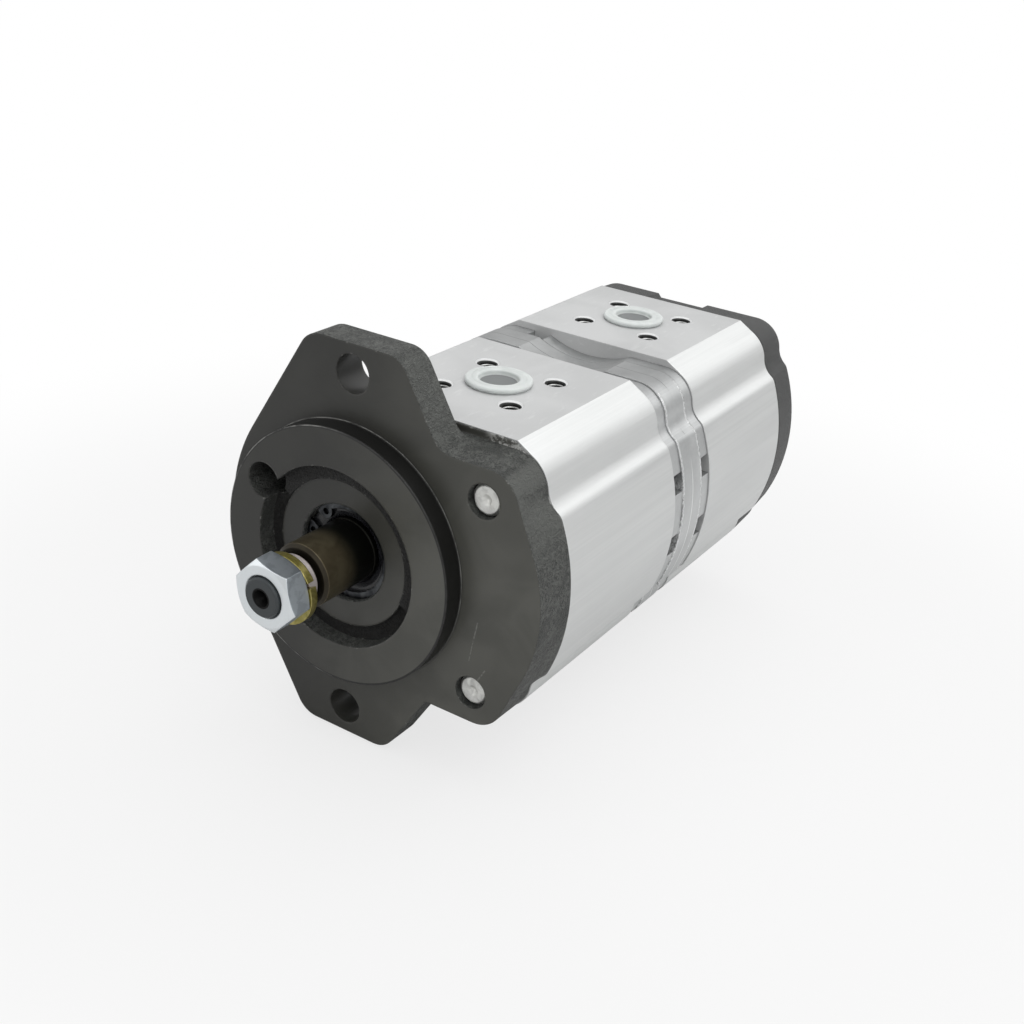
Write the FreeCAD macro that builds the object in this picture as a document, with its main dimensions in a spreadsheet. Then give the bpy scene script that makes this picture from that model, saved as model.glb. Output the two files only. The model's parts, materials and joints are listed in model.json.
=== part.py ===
import FreeCAD, Part
import math
import os
import re

import Sketcher

V = FreeCAD.Vector

# Driving sizes in millimetres, angles in degrees.
# The frame: origin on the drive shaft's axis in the mounting face, shaft end
# toward -Y, driven gear toward +X, port face up.
SIZES = {
    # gears
    "centre_distance": 34.8,
    "tooth_count": 12,
    "gear_module": 2.9,
    "pressure_angle": 25,
    "backlash": 0.15,
    "root_depth": 1.25,
    "tip_gap": 0.1,
    "side_gap": 0.1,
    # lengths along the stack
    "cover_depth": 14.8,
    "front_length": 63.4,
    "plate_depth": 5.7,
    "coupling_depth": 13.2,
    "rear_length": 56.8,
    "end_depth": 15.4,
    # outline of the housings, about the middle between the two shafts
    "port_face": 43.4,
    "half_width": 49.2,
    "side_radius": 63,
    "bolt_x": 28,
    "bolt_z": 30.3,
    "lobe_radius": 11.3,
    "bevel_angle": 59.2,
    "valley_lean": 8,
    "valley_radius": 8,
    "side_round": 4,
    "plate_inset": 0.4,
    "end_draft": 0.8,
    "end_inset": 1.4,
    "trough_half": 15.4,
    "trough_depth": 3.4,
    # slots in the end plates
    "slot_depth": 4.5,
    "slot_upper_low": 10,
    "slot_upper_high": 16.3,
    "slot_lower_low": -11.5,
    "slot_lower_high": -4.5,
    "slot_top_left": -21.7,
    "slot_top_right": -15.1,
    # notch in the rear cover
    "notch_left": -10.8,
    "notch_right": 7.1,
    "notch_slope": 2.8,
    "notch_depth": 1.4,
    # mounting flange
    "ear_depth": 11.3,
    "ear_line": 46.4,
    "ear_lean": 31.2,
    "ear_above_hole": 8.8,
    "ear_corner": 8,
    "ear_blend": 8,
    "ear_blend_low": 1.5,
    "hole_height": 54.5,
    "hole_radius": 5.75,
    "block_front_lobe": 9.7,
    "block_front_shift": 1.3,
    "block_front_half": 48.6,
    "block_front_side": 49,
    "block_rear_lobe": 11,
    "block_rim": 0.7,
    "block_rim_drop": 0.2,
    # pilot boss
    "pilot_radius": 40,
    "pilot_depth": 6.87,
    "hub_radius": 23.1,
    "hub_face": 2.5,
    "ring_radius": 28,
    "ring_face": 3.5,
    "groove_face": 1,
    "groove_start": 146,
    "groove_stop": 338,
    "key_hole_x": -26.5,
    "key_hole_z": 16.5,
    "key_hole_radius": 5.7,
    "key_hole_floor": 6,
    # shaft seal and its retaining ring
    "seal_radius": 15,
    "seal_depth": 7,
    "clip_front": 0.8,
    "clip_depth": 1.2,
    "clip_slot": 1.3,
    "clip_slot_radius": 15.7,
    "clip_inner": 13.1,
    "lug_circle": 13,
    "lug_radius": 2.2,
    "lug_hole": 1,
    "lug_first": 128,
    "lug_second": 168,
    "clip_opening": 18,
    # drive shaft
    "journal_radius": 10,
    "shaft_radius": 9.75,
    "shaft_step": 0.2,
    "shaft_end": 21.2,
    "shaft_chamfer": 1.05,
    "undercut_end": 22.6,
    "undercut_radius": 6.3,
    "neck_end": 26,
    "neck_radius": 7.6,
    "washer_depth": 2.5,
    "relief_radius": 5.05,
    "thread_radius": 6,
    "nut_depth": 7.8,
    "nut_flats": 19,
    "nut_turn": -13.3,
    "tip_length": 37.25,
    "tip_chamfer": 0.5,
    "centre_hole": 2.6,
    "washer_outer": 10.45,
    "washer_inner": 6.15,
    "washer_drop": 1,
    "washer_gap": 1.6,
    "washer_gap_angle": 25,
    "key_radius": 8,
    "key_height": 6.5,
    "key_width": 4,
    "key_rise": 1.5,
    "key_station": 11,
    # splined coupling
    "spline_radius": 8,
    "spline_root": 6.7,
    "spline_count": 8,
    "spline_width": 2.2,
    "coupling_radius": 12.5,
    "coupling_length": 20,
    "coupling_room": 1.2,
    # bearings
    "block_length": 19,
    "block_gap": 0.1,
    "bush_radius": 11.5,
    "bush_length": 18,
    "bearing_gap": 0.05,
    "pressure_seal_outer": 17.8,
    "pressure_seal_inner": 15.6,
    "pressure_seal_depth": 1.5,
    "pressure_seal_cut": 9,
    # seals between the housings
    "gasket_inner": 22.2,
    "gasket_width": 2,
    "gasket_depth": 1.6,
    "gasket_gap": 0.2,
    # ports and their plugs
    "front_port": 47.7,
    "rear_port": 132,
    "outlet_radius": 7.5,
    "outlet_circle": 35,
    "inlet_radius": 10,
    "inlet_circle": 40,
    "screw_radius": 3,
    "screw_chamfer": 0.8,
    "screw_depth": 13,
    "port_reach": 8,
    "plug_flange": 2.8,
    "plug_height": 1.9,
    "plug_sink": 1,
    "plug_wall": 1.4,
    "plug_length": 9,
    "plug_gap": 0.15,
    # tie bolts
    "bolt_radius": 4.85,
    "bolt_gap": 0.3,
    "bolt_recess": 1.4,
    "bolt_point": 0.95,
    "bolt_blind": 5,
    "bolt_head": 10,
    "bolt_head_radius": 8,
    "bolt_socket": 8,
    "bolt_socket_depth": 5,
    "bolt_sink": 0.2,
}

# Stations along +Y where one housing ends and the next begins.
FRONT_REAR = "(cover_depth + front_length)"
PLATE_REAR = "(cover_depth + front_length + plate_depth)"
COUPLING_REAR = "(cover_depth + front_length + plate_depth + coupling_depth)"
REAR_FRONT = "(cover_depth + front_length + 2 * plate_depth + coupling_depth)"
REAR_REAR = "(cover_depth + front_length + 2 * plate_depth + coupling_depth + rear_length)"
END_REAR = REAR_REAR[:-1] + " + end_depth)"
STACK_MIDDLE = "(cover_depth + front_length + plate_depth + coupling_depth / 2)"
MIDDLE = "centre_distance / 2"
TIP_RADIUS = "(gear_module * (tooth_count / 2 + 1))"

doc = FreeCAD.newDocument("tandem_gear_pump")
sheet = doc.addObject("Spreadsheet::Sheet", "Sizes")
NAME = re.compile(r"[a-z][a-z_]*")
nodes = []


def fill_sheet():
    for row, (name, size) in enumerate(SIZES.items(), 1):
        sheet.set(f"A{row}", name)
        sheet.set(f"B{row}", str(size))
        sheet.setAlias(f"B{row}", name)
    doc.recompute()


def formula(text):
    # every size name in the text is pointed at its cell
    return NAME.sub(lambda found: "Sizes." + found.group(0) if found.group(0) in SIZES else found.group(0), str(text))


def value(text):
    return float(sheet.evalExpression(formula(text)))


def bind(thing, field, text):
    thing.setExpression(field, formula(text))


def node(name, x="0", y="0", z="0", lying=True):
    # Lying bodies have local Z toward the shaft end (-Y), local Y up.
    body = doc.addObject("PartDesign::Body", name)
    body.Label = name
    turn = FreeCAD.Rotation(V(1, 0, 0), 90 if lying else 0)
    body.Placement = FreeCAD.Placement(V(value(x), value(y), value(z)), turn)
    for axis, text in zip("xyz", (x, y, z)):
        bind(body, f"Placement.Base.{axis}", text)
    nodes.append(body)
    return body


def origin_plane(body, role):
    return next(item for item in body.Origin.OriginFeatures if item.Role == role)


class Drawing:
    # A sketch whose points and radii are bound to the sheet.

    def __init__(self, body, name, plane="XY_Plane", at="0"):
        self.body = body
        self.sketch = body.newObject("Sketcher::SketchObject", name)
        self.sketch.AttachmentSupport = [(origin_plane(body, plane), "")]
        self.sketch.MapMode = "FlatFace"
        bind(self.sketch, "AttachmentOffset.Base.z", at)

    def hold(self, kind, *where, size):
        number = self.sketch.addConstraint(Sketcher.Constraint(kind, *where, value(size)))
        self.sketch.setExpression(f"Constraints[{number}]", formula(size))

    def place(self, geometry, point, x, y):
        if str(x) == "0":
            self.sketch.addConstraint(Sketcher.Constraint("PointOnObject", geometry, point, -2))
        else:
            self.hold("DistanceX", -1, 1, geometry, point, size=x)
        if str(y) == "0":
            self.sketch.addConstraint(Sketcher.Constraint("PointOnObject", geometry, point, -1))
        else:
            self.hold("DistanceY", -1, 1, geometry, point, size=y)

    def circle(self, x, y, radius):
        ring = Part.Circle(V(value(x), value(y), 0), V(0, 0, 1), value(radius))
        geometry = self.sketch.addGeometry(ring)
        self.place(geometry, 3, x, y)
        self.hold("Radius", geometry, size=radius)

    def outline(self, points, arcs=None):
        # arcs: side number -> (radius, +1 anticlockwise or -1 clockwise, long arc, centre's x)
        arcs = arcs or {}
        spots = [V(value(x), value(y), 0) for x, y in points]
        sides = []
        for number, start in enumerate(spots):
            stop = spots[(number + 1) % len(spots)]
            if number not in arcs:
                sides.append((self.sketch.addGeometry(Part.LineSegment(start, stop)), 1, 2))
                continue
            radius, turn, long_way, centre = (arcs[number] + (False, None)[len(arcs[number]) - 2:])[:4]
            first, last = (start, stop) if turn > 0 else (stop, start)
            side = self.sketch.addGeometry(short_arc(first, last, value(radius), long_way))
            if centre is None:
                self.hold("Radius", side, size=radius)
            else:
                self.hold("DistanceX", -1, 1, side, 3, size=centre)
            sides.append((side, 1, 2) if turn > 0 else (side, 2, 1))
        for number, (side, first, last) in enumerate(sides):
            following = sides[(number + 1) % len(sides)]
            self.sketch.addConstraint(Sketcher.Constraint("Coincident", side, last, following[0], following[1]))
            self.place(side, first, *points[number])


def short_arc(first, last, radius, long_way):
    # arc run anticlockwise from first to last
    chord = last - first
    lift = math.sqrt(max(radius ** 2 - (chord.Length / 2) ** 2, 0))
    normal = V(-chord.y, chord.x, 0).normalize()
    centre = (first + last) / 2 + normal * (-lift if long_way else lift)
    start = math.atan2(first.y - centre.y, first.x - centre.x)
    stop = math.atan2(last.y - centre.y, last.x - centre.x)
    if stop <= start:
        stop += 2 * math.pi
    return Part.ArcOfCircle(Part.Circle(centre, V(0, 0, 1), radius), start, stop)


def pad(drawing, name, length):
    feature = drawing.body.newObject("PartDesign::Pad", name)
    feature.Profile = drawing.sketch
    bind(feature, "Length", length)
    doc.recompute()
    return feature


def pocket(drawing, name, length=None, reverse=False, both=False):
    before = drawing.body.Shape.Volume
    feature = drawing.body.newObject("PartDesign::Pocket", name)
    feature.Profile = drawing.sketch
    feature.Reversed = reverse
    if length is None:
        feature.Type = 1
    else:
        bind(feature, "Length", length)
    if both:
        feature.Midplane = True
    doc.recompute()
    if not feature.Shape.Volume < before - 1e-6:
        raise ValueError(f"{drawing.body.Label}: {name} cuts nothing")
    return feature


def turned(drawing, name, cut=False):
    # full turn about the sketch's upright axis
    feature = drawing.body.newObject("PartDesign::Groove" if cut else "PartDesign::Revolution", name)
    feature.Profile = drawing.sketch
    feature.ReferenceAxis = (drawing.sketch, ["V_Axis"])
    feature.Angle = 360
    doc.recompute()
    return feature


def mirrored(body, name, plane, originals=None):
    feature = body.newObject("PartDesign::Mirrored", name)
    if originals:
        feature.Originals = originals
    else:
        feature.TransformMode = "Whole shape"
    feature.MirrorPlane = (origin_plane(body, plane), [""])
    body.Tip = feature
    doc.recompute()
    return feature


def polar(body, name, originals, count):
    feature = body.newObject("PartDesign::PolarPattern", name)
    feature.Originals = originals
    axis = next(item for item in body.Origin.OriginFeatures if item.Role == "Z_Axis")
    feature.Axis = (axis, [""])
    feature.Angle = 360
    bind(feature, "Occurrences", count)
    body.Tip = feature
    doc.recompute()
    return feature


def section(body, name, at, lobe, inset="0", flat=None):
    # One quarter of the housing outline, right of the middle and above it:
    # round lobe at the tie bolt, hollow valley, rounded corner, bulging side.
    # With a flat level the lobe is cut by a bevel that runs up to it.
    drawing = Drawing(body, name, at=at)
    side = f"(side_radius - {inset})"
    width = f"(half_width - {inset})"
    # centre of the valley arc, seen from the centre of the side arc
    shift = f"({width} - {side})"
    valley_x = f"(bolt_x + ({lobe} + valley_radius) * cos(valley_lean) - {shift})"
    valley_z = f"(bolt_z + ({lobe} + valley_radius) * sin(valley_lean))"
    # centre of the corner arc: inside the side arc, outside the valley arc
    inside = f"({side} - side_round)"
    outside = "(valley_radius + side_round)"
    apart = f"(pow({valley_x}; 2) + pow({valley_z}; 2))"
    along = f"((pow({inside}; 2) - pow({outside}; 2) + {apart}) / 2 / {apart})"
    across = f"sqrt(pow({inside}; 2) / {apart} - pow({along}; 2))"
    corner_x = f"({along} * {valley_x} + {across} * {valley_z})"
    corner_z = f"({along} * {valley_z} - {across} * {valley_x})"
    points = [("0", "0")]
    if flat:
        lean = "bevel_angle"
        points.append(("0", flat))
        points.append((f"bolt_x + ((bolt_z - {flat}) * sin({lean}) + {lobe}) / cos({lean})", flat))
        points.append((f"bolt_x + {lobe} * cos({lean})", f"bolt_z + {lobe} * sin({lean})"))
    else:
        points.append(("0", f"bolt_z + {lobe}"))
        points.append(("bolt_x", f"bolt_z + {lobe}"))
    first = len(points) - 1
    points.append((f"bolt_x + {lobe} * cos(valley_lean)", f"bolt_z + {lobe} * sin(valley_lean)"))
    points.append((f"{shift} + {valley_x} + ({corner_x} - {valley_x}) * valley_radius / {outside}",
                   f"{valley_z} + ({corner_z} - {valley_z}) * valley_radius / {outside}"))
    points.append((f"{shift} + {corner_x} * {side} / {inside}", f"{corner_z} * {side} / {inside}"))
    points.append((width, "0"))
    drawing.outline(points, {first: (lobe, -1), first + 1: ("valley_radius", 1), first + 2: ("side_round", -1),
                             first + 3: (side, -1)})
    return drawing


def flange_section(body, name, at):
    # The same quarter at the mounting face, where a straight line touches both
    # the lobe and the side arc. The line is in two parts, to pair with the section behind.
    drawing = Drawing(body, name, at=at)
    lobe = "block_front_lobe"
    side = "block_front_side"
    lobe_x = "(bolt_x + block_front_shift)"
    side_x = f"(block_front_half - {side})"
    across = f"({lobe_x} - {side_x})"
    apart = f"sqrt(pow({across}; 2) + pow(bolt_z; 2))"
    turn = f"(atan2(bolt_z; {across}) - acos(({side} - {lobe}) / {apart}))"
    touch_lobe = (f"{lobe_x} + {lobe} * cos({turn})", f"bolt_z + {lobe} * sin({turn})")
    touch_side = (f"{side_x} + {side} * cos({turn})", f"{side} * sin({turn})")
    middle = tuple(f"({one} + {other}) / 2" for one, other in zip(touch_lobe, touch_side))
    points = [("0", "0"), ("0", f"bolt_z + {lobe}"), (lobe_x, f"bolt_z + {lobe}"), touch_lobe, middle, touch_side,
              ("block_front_half", "0")]
    drawing.outline(points, {2: (lobe, -1), 5: (side, -1)})
    return drawing


def quartered(body):
    mirrored(body, "left_half", "YZ_Plane")
    mirrored(body, "lower_half", "XZ_Plane")


def tie_holes(body, at, length=None):
    drawing = Drawing(body, "tie_hole_sketch", at=at)
    for x in ("bolt_x", "-bolt_x"):
        for z in ("bolt_z", "-bolt_z"):
            drawing.circle(x, z, "bolt_radius + bolt_gap")
    pocket(drawing, "tie_holes", length)


def stadium(drawing, radius):
    # both straight sides run level, the round ends are centred on the shafts
    reach = MIDDLE
    points = [(reach, f"-({radius})"), (reach, radius), (f"-({reach})", radius), (f"-({reach})", f"-({radius})")]
    drawing.outline(points, {0: (radius, 1, False, reach), 2: (radius, 1, False, f"-({reach})")})


def gasket_groove(body, name, at, reverse):
    drawing = Drawing(body, name + "_sketch", at=at)
    stadium(drawing, "gasket_inner")
    stadium(drawing, "gasket_inner + gasket_width + 2 * gasket_gap")
    pocket(drawing, name, "gasket_depth", reverse)


def port(body, name, station, radius, circle, top):
    # A bore into the gear mesh with four threaded holes round it.
    level = "-port_face" if top else "port_face"
    drawing = Drawing(body, name + "_sketch", "XZ_Plane", level)
    drawing.circle("0", station, radius)
    pocket(drawing, name, "port_face - port_reach", reverse=top)
    holes = Drawing(body, name + "_screw_sketch", "XZ_Plane", level)
    cones = []
    for x in (1, -1):
        for z in (1, -1):
            spread = f"{circle} / 2 * cos(45)"
            holes.circle(f"{x} * {spread}", f"{station} + {z} * {spread}", "screw_radius")
            cone = body.newObject("PartDesign::SubtractiveCone", f"{name}_chamfer")
            bind(cone, "Radius1", "screw_radius")
            bind(cone, "Radius2", "screw_radius + screw_chamfer")
            bind(cone, "Height", "screw_chamfer")
            cone.Placement = FreeCAD.Placement(V(0, 0, 0), FreeCAD.Rotation(V(1, 0, 0), -90 if top else 90))
            bind(cone, "Placement.Base.x", f"{x} * {spread}")
            bind(cone, "Placement.Base.y", ("1" if top else "-1") + " * (port_face - screw_chamfer)")
            bind(cone, "Placement.Base.z", f"{station} + {z} * {spread}")
            cones.append(cone)
    doc.recompute()
    pocket(holes, name + "_screws", "screw_depth", reverse=top)


def pump_body(name, rear, length, port_station):
    # extruded section with the gear chamber, outlet above and inlet below
    body = node(name, x=MIDDLE, y=rear)
    pad(section(body, "outline", "0", "lobe_radius", flat="port_face"), "quarter", length)
    quartered(body)
    bore = Drawing(body, "chamber_sketch", at=length)
    bore.circle(MIDDLE, "0", f"{TIP_RADIUS} + tip_gap")
    chamber = pocket(bore, "chamber")
    mirrored(body, "chamber_left", "YZ_Plane", [chamber])
    tie_holes(body, length)
    gasket_groove(body, "front_gasket_groove", length, False)
    gasket_groove(body, "rear_gasket_groove", "0", True)
    station = f"({rear} - {port_station})"
    port(body, "outlet", station, "outlet_radius", "outlet_circle", True)
    port(body, "inlet", station, "inlet_radius", "inlet_circle", False)
    return body


def flange_rim(body):
    # thin rim up to the corner of the body's port face, its bevel ends inside the lobe
    rim = Drawing(body, "rim_outline")
    flat = "(port_face - block_rim_drop)"
    lean = "bevel_angle"
    inner = "(block_rear_lobe - block_rim)"
    corner = f"bolt_x + ((bolt_z - {flat}) * sin({lean}) + block_rear_lobe) / cos({lean})"
    low = (f"bolt_x + {inner} * cos({lean} / 2)", f"bolt_z + {inner} * sin({lean} / 2)")
    rim.outline([("0", "0"), ("0", flat), (corner, flat), low, ("bolt_x", "bolt_z")])
    pad(rim, "rim", "block_rim")


def front_cover():
    body = node("front_cover", x=MIDDLE, y="cover_depth")
    # the block behind the ears narrows a little toward the front
    rear = section(body, "block_rear", "0", "block_rear_lobe")
    front = flange_section(body, "block_front", "cover_depth")
    block = body.newObject("PartDesign::AdditiveLoft", "block")
    block.Profile = rear.sketch
    block.Sections = [front.sketch]
    doc.recompute()
    flange_rim(body)
    quartered(body)
    ears = Drawing(body, "ear_sketch", at="cover_depth - ear_depth")
    lean = "ear_lean"
    ear_top = "(hole_height + ear_above_hole)"
    corner = f"(ear_line - {ear_top} * sin({lean})) / cos({lean})"
    # centre of the left arc lies where it runs into both side lines
    arc_x = "0.276 * centre_distance"
    arc_radius = f"(ear_line + {arc_x} * cos({lean}))"
    touch_x = f"{arc_x} - {arc_radius} * cos({lean}) - {MIDDLE}"
    touch_z = f"{arc_radius} * sin({lean})"
    points = [
        (f"-({corner}) - {MIDDLE}", ear_top), (f"{corner} - {MIDDLE}", ear_top),
        (f"ear_line / cos({lean}) - {MIDDLE}", "0"),
        (f"{corner} - {MIDDLE}", f"-{ear_top}"), (f"-({corner}) - {MIDDLE}", f"-{ear_top}"),
        (touch_x, f"-({touch_z})"), (touch_x, touch_z),
    ]
    ears.outline(points, {5: (arc_radius, -1)})
    pad(ears, "ears", "ear_depth")
    boss = Drawing(body, "boss_sketch", at="cover_depth")
    boss.circle(f"-({MIDDLE})", "0", "pilot_radius")
    pad(boss, "boss", "pilot_depth")
    ear_blends(body, corner, ear_top)
    recess(body, "ring", "ring_radius", "ring_face")
    recess(body, "hub", "hub_radius", "hub_face")
    cast_groove(body)
    hole = Drawing(body, "key_hole_sketch", at="cover_depth + pilot_depth")
    hole.circle(f"key_hole_x - {MIDDLE}", "key_hole_z", "key_hole_radius")
    pocket(hole, "key_hole", "pilot_depth + key_hole_floor")
    seal_bore(body)
    mounting = Drawing(body, "mounting_sketch", at="cover_depth")
    mounting.circle(f"-({MIDDLE})", "hole_height", "hole_radius")
    mounting.circle(f"-({MIDDLE})", "-hole_height", "hole_radius")
    pocket(mounting, "mounting_holes")
    ends = Drawing(body, "through_sketch", at="cover_depth")
    blind = Drawing(body, "blind_sketch")
    for z in ("bolt_z", "-bolt_z"):
        ends.circle("bolt_x", z, "bolt_radius + bolt_gap")
        blind.circle("-bolt_x", z, "bolt_radius + bolt_gap")
    pocket(ends, "through_holes")
    pocket(blind, "blind_holes", "cover_depth - bolt_blind + 1", reverse=True)


def ear_blends(body, corner, ear_top):
    # rounded ear corners, and the hollow where each ear's right side runs into the block
    block_top = "(bolt_z + (block_front_lobe + block_rear_lobe) / 2)"
    meeting = f"(ear_line - {block_top} * sin(ear_lean)) / cos(ear_lean)"
    kinds = (("ear_corner", (corner, f"-({corner})"), (ear_top, f"-{ear_top}")),
             ("ear_blend", (meeting,), (block_top,)), ("ear_blend_low", (meeting,), (f"-{block_top}",)))
    for radius, across, heights in kinds:
        tip = body.Tip
        names = []
        for x in across:
            for height in heights:
                spot = V(value(f"{x} - {MIDDLE}"), value(height), value("cover_depth - ear_depth / 2"))
                names.append(nearest_edge(tip.Shape, spot))
        rounding = body.newObject("PartDesign::Fillet", radius + "s")
        rounding.Base = (tip, names)
        bind(rounding, "Radius", radius)
        doc.recompute()


def nearest_edge(shape, spot):
    best = min(range(len(shape.Edges)), key=lambda number: (shape.Edges[number].CenterOfMass - spot).Length)
    return f"Edge{best + 1}"


def recess(body, name, radius, face):
    drawing = Drawing(body, name + "_sketch", at="cover_depth + pilot_depth")
    drawing.circle(f"-({MIDDLE})", "0", radius)
    pocket(drawing, name + "_recess", f"pilot_depth - {face}")


def cast_groove(body):
    # deeper C-shaped part of the ring round the hub
    drawing = Drawing(body, "groove_sketch", at="cover_depth + pilot_depth")
    points = []
    for radius, angle in (("hub_radius", "groove_start"), ("ring_radius", "groove_start"),
                          ("ring_radius", "groove_stop"), ("hub_radius", "groove_stop")):
        points.append((f"{radius} * cos({angle}) - {MIDDLE}", f"{radius} * sin({angle})"))
    drawing.outline(points, {1: ("ring_radius", 1, True), 3: ("hub_radius", -1, True)})
    pocket(drawing, "cast_groove", "pilot_depth - groove_face")


def seal_bore(body):
    bore = Drawing(body, "seal_bore_sketch", "XZ_Plane")
    # stepped bore about the drive axis, drawn as radius against height
    front = "(cover_depth + hub_face + 1)"
    slot = "(cover_depth + clip_front)"
    floor = f"({slot} - clip_slot - seal_depth)"
    steps = [("seal_radius + 0.4", front), ("seal_radius + 0.4", "cover_depth + hub_face"),
             ("seal_radius", "cover_depth + hub_face - 0.4"), ("seal_radius", slot),
             ("clip_slot_radius", slot), ("clip_slot_radius", f"{slot} - clip_slot"),
             ("seal_radius", f"{slot} - clip_slot"), ("seal_radius", floor),
             ("journal_radius + 0.6", floor), ("journal_radius + 0.6", "-1")]
    shift = f"-({MIDDLE})"
    points = [(shift, "-1")] + [(shift, front)] + [(f"{shift} + {radius}", height) for radius, height in steps]
    bore.outline(points)
    feature = body.newObject("PartDesign::Groove", "seal_bore")
    feature.Profile = bore.sketch
    axis_end = V(value(shift), value("cover_depth"), 0)
    axis = bore.sketch.addGeometry(Part.LineSegment(V(value(shift), 0, 0), axis_end), True)
    bore.sketch.addConstraint(Sketcher.Constraint("Vertical", axis))
    bore.place(axis, 1, shift, "0")
    bore.hold("DistanceY", axis, 1, axis, 2, size="cover_depth")
    feature.ReferenceAxis = (bore.sketch, ["Axis0"])
    feature.Angle = 360
    doc.recompute()


def trough(body, depth):
    # shallow hollow across the top and the underside
    height = "(bolt_z + lobe_radius - plate_inset)"
    radius = "((pow(trough_half; 2) + pow(trough_depth; 2)) / (2 * trough_depth))"
    for name, sign in (("trough_top", 1), ("trough_below", -1)):
        drawing = Drawing(body, name + "_sketch", at=depth)
        drawing.circle("0", f"{sign} * ({height} - trough_depth + {radius})", radius)
        pocket(drawing, name)


def end_plate(name, rear, top_slot):
    body = node(name, x=MIDDLE, y=rear)
    pad(section(body, "outline", "0", "(lobe_radius - plate_inset)", "plate_inset"), "quarter", "plate_depth")
    quartered(body)
    trough(body, "plate_depth")
    slots = Drawing(body, "slot_sketch", at="plate_depth")
    top = "(bolt_z + lobe_radius - plate_inset)"
    if top_slot:
        rectangle(slots, "slot_top_left", f"{top} - slot_depth", "slot_top_right", f"{top} + 2")
    for low, high in (("slot_upper_low", "slot_upper_high"), ("slot_lower_low", "slot_lower_high")):
        rectangle(slots, "half_width - slot_depth", low, "half_width + 2", high)
    pocket(slots, "slots")
    tie_holes(body, "plate_depth")
    bore = Drawing(body, "bore_sketch", at="plate_depth")
    bore.circle(f"-({MIDDLE})", "0", "coupling_radius + coupling_room")
    pocket(bore, "coupling_bore")


def rectangle(drawing, left, low, right, high):
    drawing.outline([(left, low), (right, low), (right, high), (left, high)])


def coupling_housing():
    body = node("coupling_housing", x=MIDDLE, y=COUPLING_REAR)
    pad(section(body, "outline", "0", "lobe_radius", "0"), "quarter", "coupling_depth")
    quartered(body)
    trough(body, "coupling_depth")
    tie_holes(body, "coupling_depth")
    bore = Drawing(body, "bore_sketch", at="coupling_depth")
    bore.circle(f"-({MIDDLE})", "0", "coupling_radius + 2 * coupling_room")
    pocket(bore, "coupling_bore")


def rear_cover():
    body = node("rear_cover", x=MIDDLE, y=END_REAR)
    rear = section(body, "rear_outline", "0", "(lobe_radius - end_draft)", "end_inset")
    front = section(body, "front_outline", "end_depth", "lobe_radius")
    block = body.newObject("PartDesign::AdditiveLoft", "block")
    block.Profile = rear.sketch
    block.Sections = [front.sketch]
    doc.recompute()
    quartered(body)
    notch = Drawing(body, "notch_sketch", at="end_depth")
    top = "(bolt_z + lobe_radius)"
    floor = f"{top} - end_draft - notch_depth"
    points = [("notch_left - notch_slope", f"{top} + 1"), ("notch_left", floor), ("notch_right", floor),
              ("notch_right + notch_slope", f"{top} + 1")]
    notch.outline(points)
    pocket(notch, "top_notch")
    tie_holes(body, "end_depth")
    sinks = Drawing(body, "bolt_sink_sketch")
    for x in ("bolt_x", "-bolt_x"):
        for z in ("bolt_z", "-bolt_z"):
            sinks.circle(x, z, "bolt_head_radius + bolt_gap")
    pocket(sinks, "bolt_sinks", "bolt_head + bolt_sink", reverse=True)


def tooth_gap(body, at, phase):
    # One gap between two teeth. The flank is an involute of the base circle:
    # half the gap's angle grows with inv(a) = tan(a) - a, where cos(a) = base / radius.
    teeth = value("tooth_count")
    pitch = value("gear_module * tooth_count / 2")
    root = pitch - value("gear_module * root_depth")
    tip = value(TIP_RADIUS)
    base = pitch * math.cos(math.radians(value("pressure_angle")))

    def roll(radius):
        slope = math.acos(min(base / radius, 1))
        return math.tan(slope) - slope

    def half_angle(radius):
        return math.pi / (2 * teeth) + value("backlash") / (2 * pitch) - roll(pitch) + roll(max(radius, base))

    def spot(radius, side):
        angle = math.radians(phase) + side * half_angle(radius)
        return V(radius * math.cos(angle), radius * math.sin(angle), 0)

    drawing = Drawing(body, "tooth_gap_sketch", at=at)
    radii = [base + (tip - base) * (step / 6) ** 1.5 for step in range(7)]
    lines = []
    for side in (1, -1):
        flank = Part.BSplineCurve()
        flank.interpolate([spot(radius, side) for radius in radii])
        low = spot(base, side)
        high = spot(tip, side)
        lines += [flank, Part.LineSegment(low * (root / base), low), Part.LineSegment(high, high * 1.08)]
    start = math.radians(phase) - half_angle(base)
    stop = math.radians(phase) + half_angle(base)
    lines.append(Part.ArcOfCircle(Part.Circle(V(0, 0, 0), V(0, 0, 1), root), start, stop))
    lines.append(Part.LineSegment(spot(tip, 1) * 1.08, spot(tip, -1) * 1.08))
    for line in lines:
        geometry = drawing.sketch.addGeometry(line)
        drawing.sketch.addConstraint(Sketcher.Constraint("Block", geometry))
    return drawing


def gear_shaft(name, x, rear, profile, gear_front, width, phase):
    # Shaft and gear turned in one piece, then the gaps are cut round the gear.
    body = node(name, x=x, y=rear)
    drawing = Drawing(body, "profile", "XZ_Plane")
    points = [("0", f"{rear} - ({station})") for station in (profile[0][1],)]
    points += [(radius, f"{rear} - ({station})") for radius, station in profile]
    points.append(("0", f"{rear} - ({profile[-1][1]})"))
    drawing.outline(points)
    turned(drawing, "turned")
    gaps = tooth_gap(body, f"{rear} - ({gear_front}) + 1", phase)
    cut = pocket(gaps, "tooth_gap", f"{width} + 2")
    polar(body, "teeth", [cut], "tooth_count")
    return body


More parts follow.
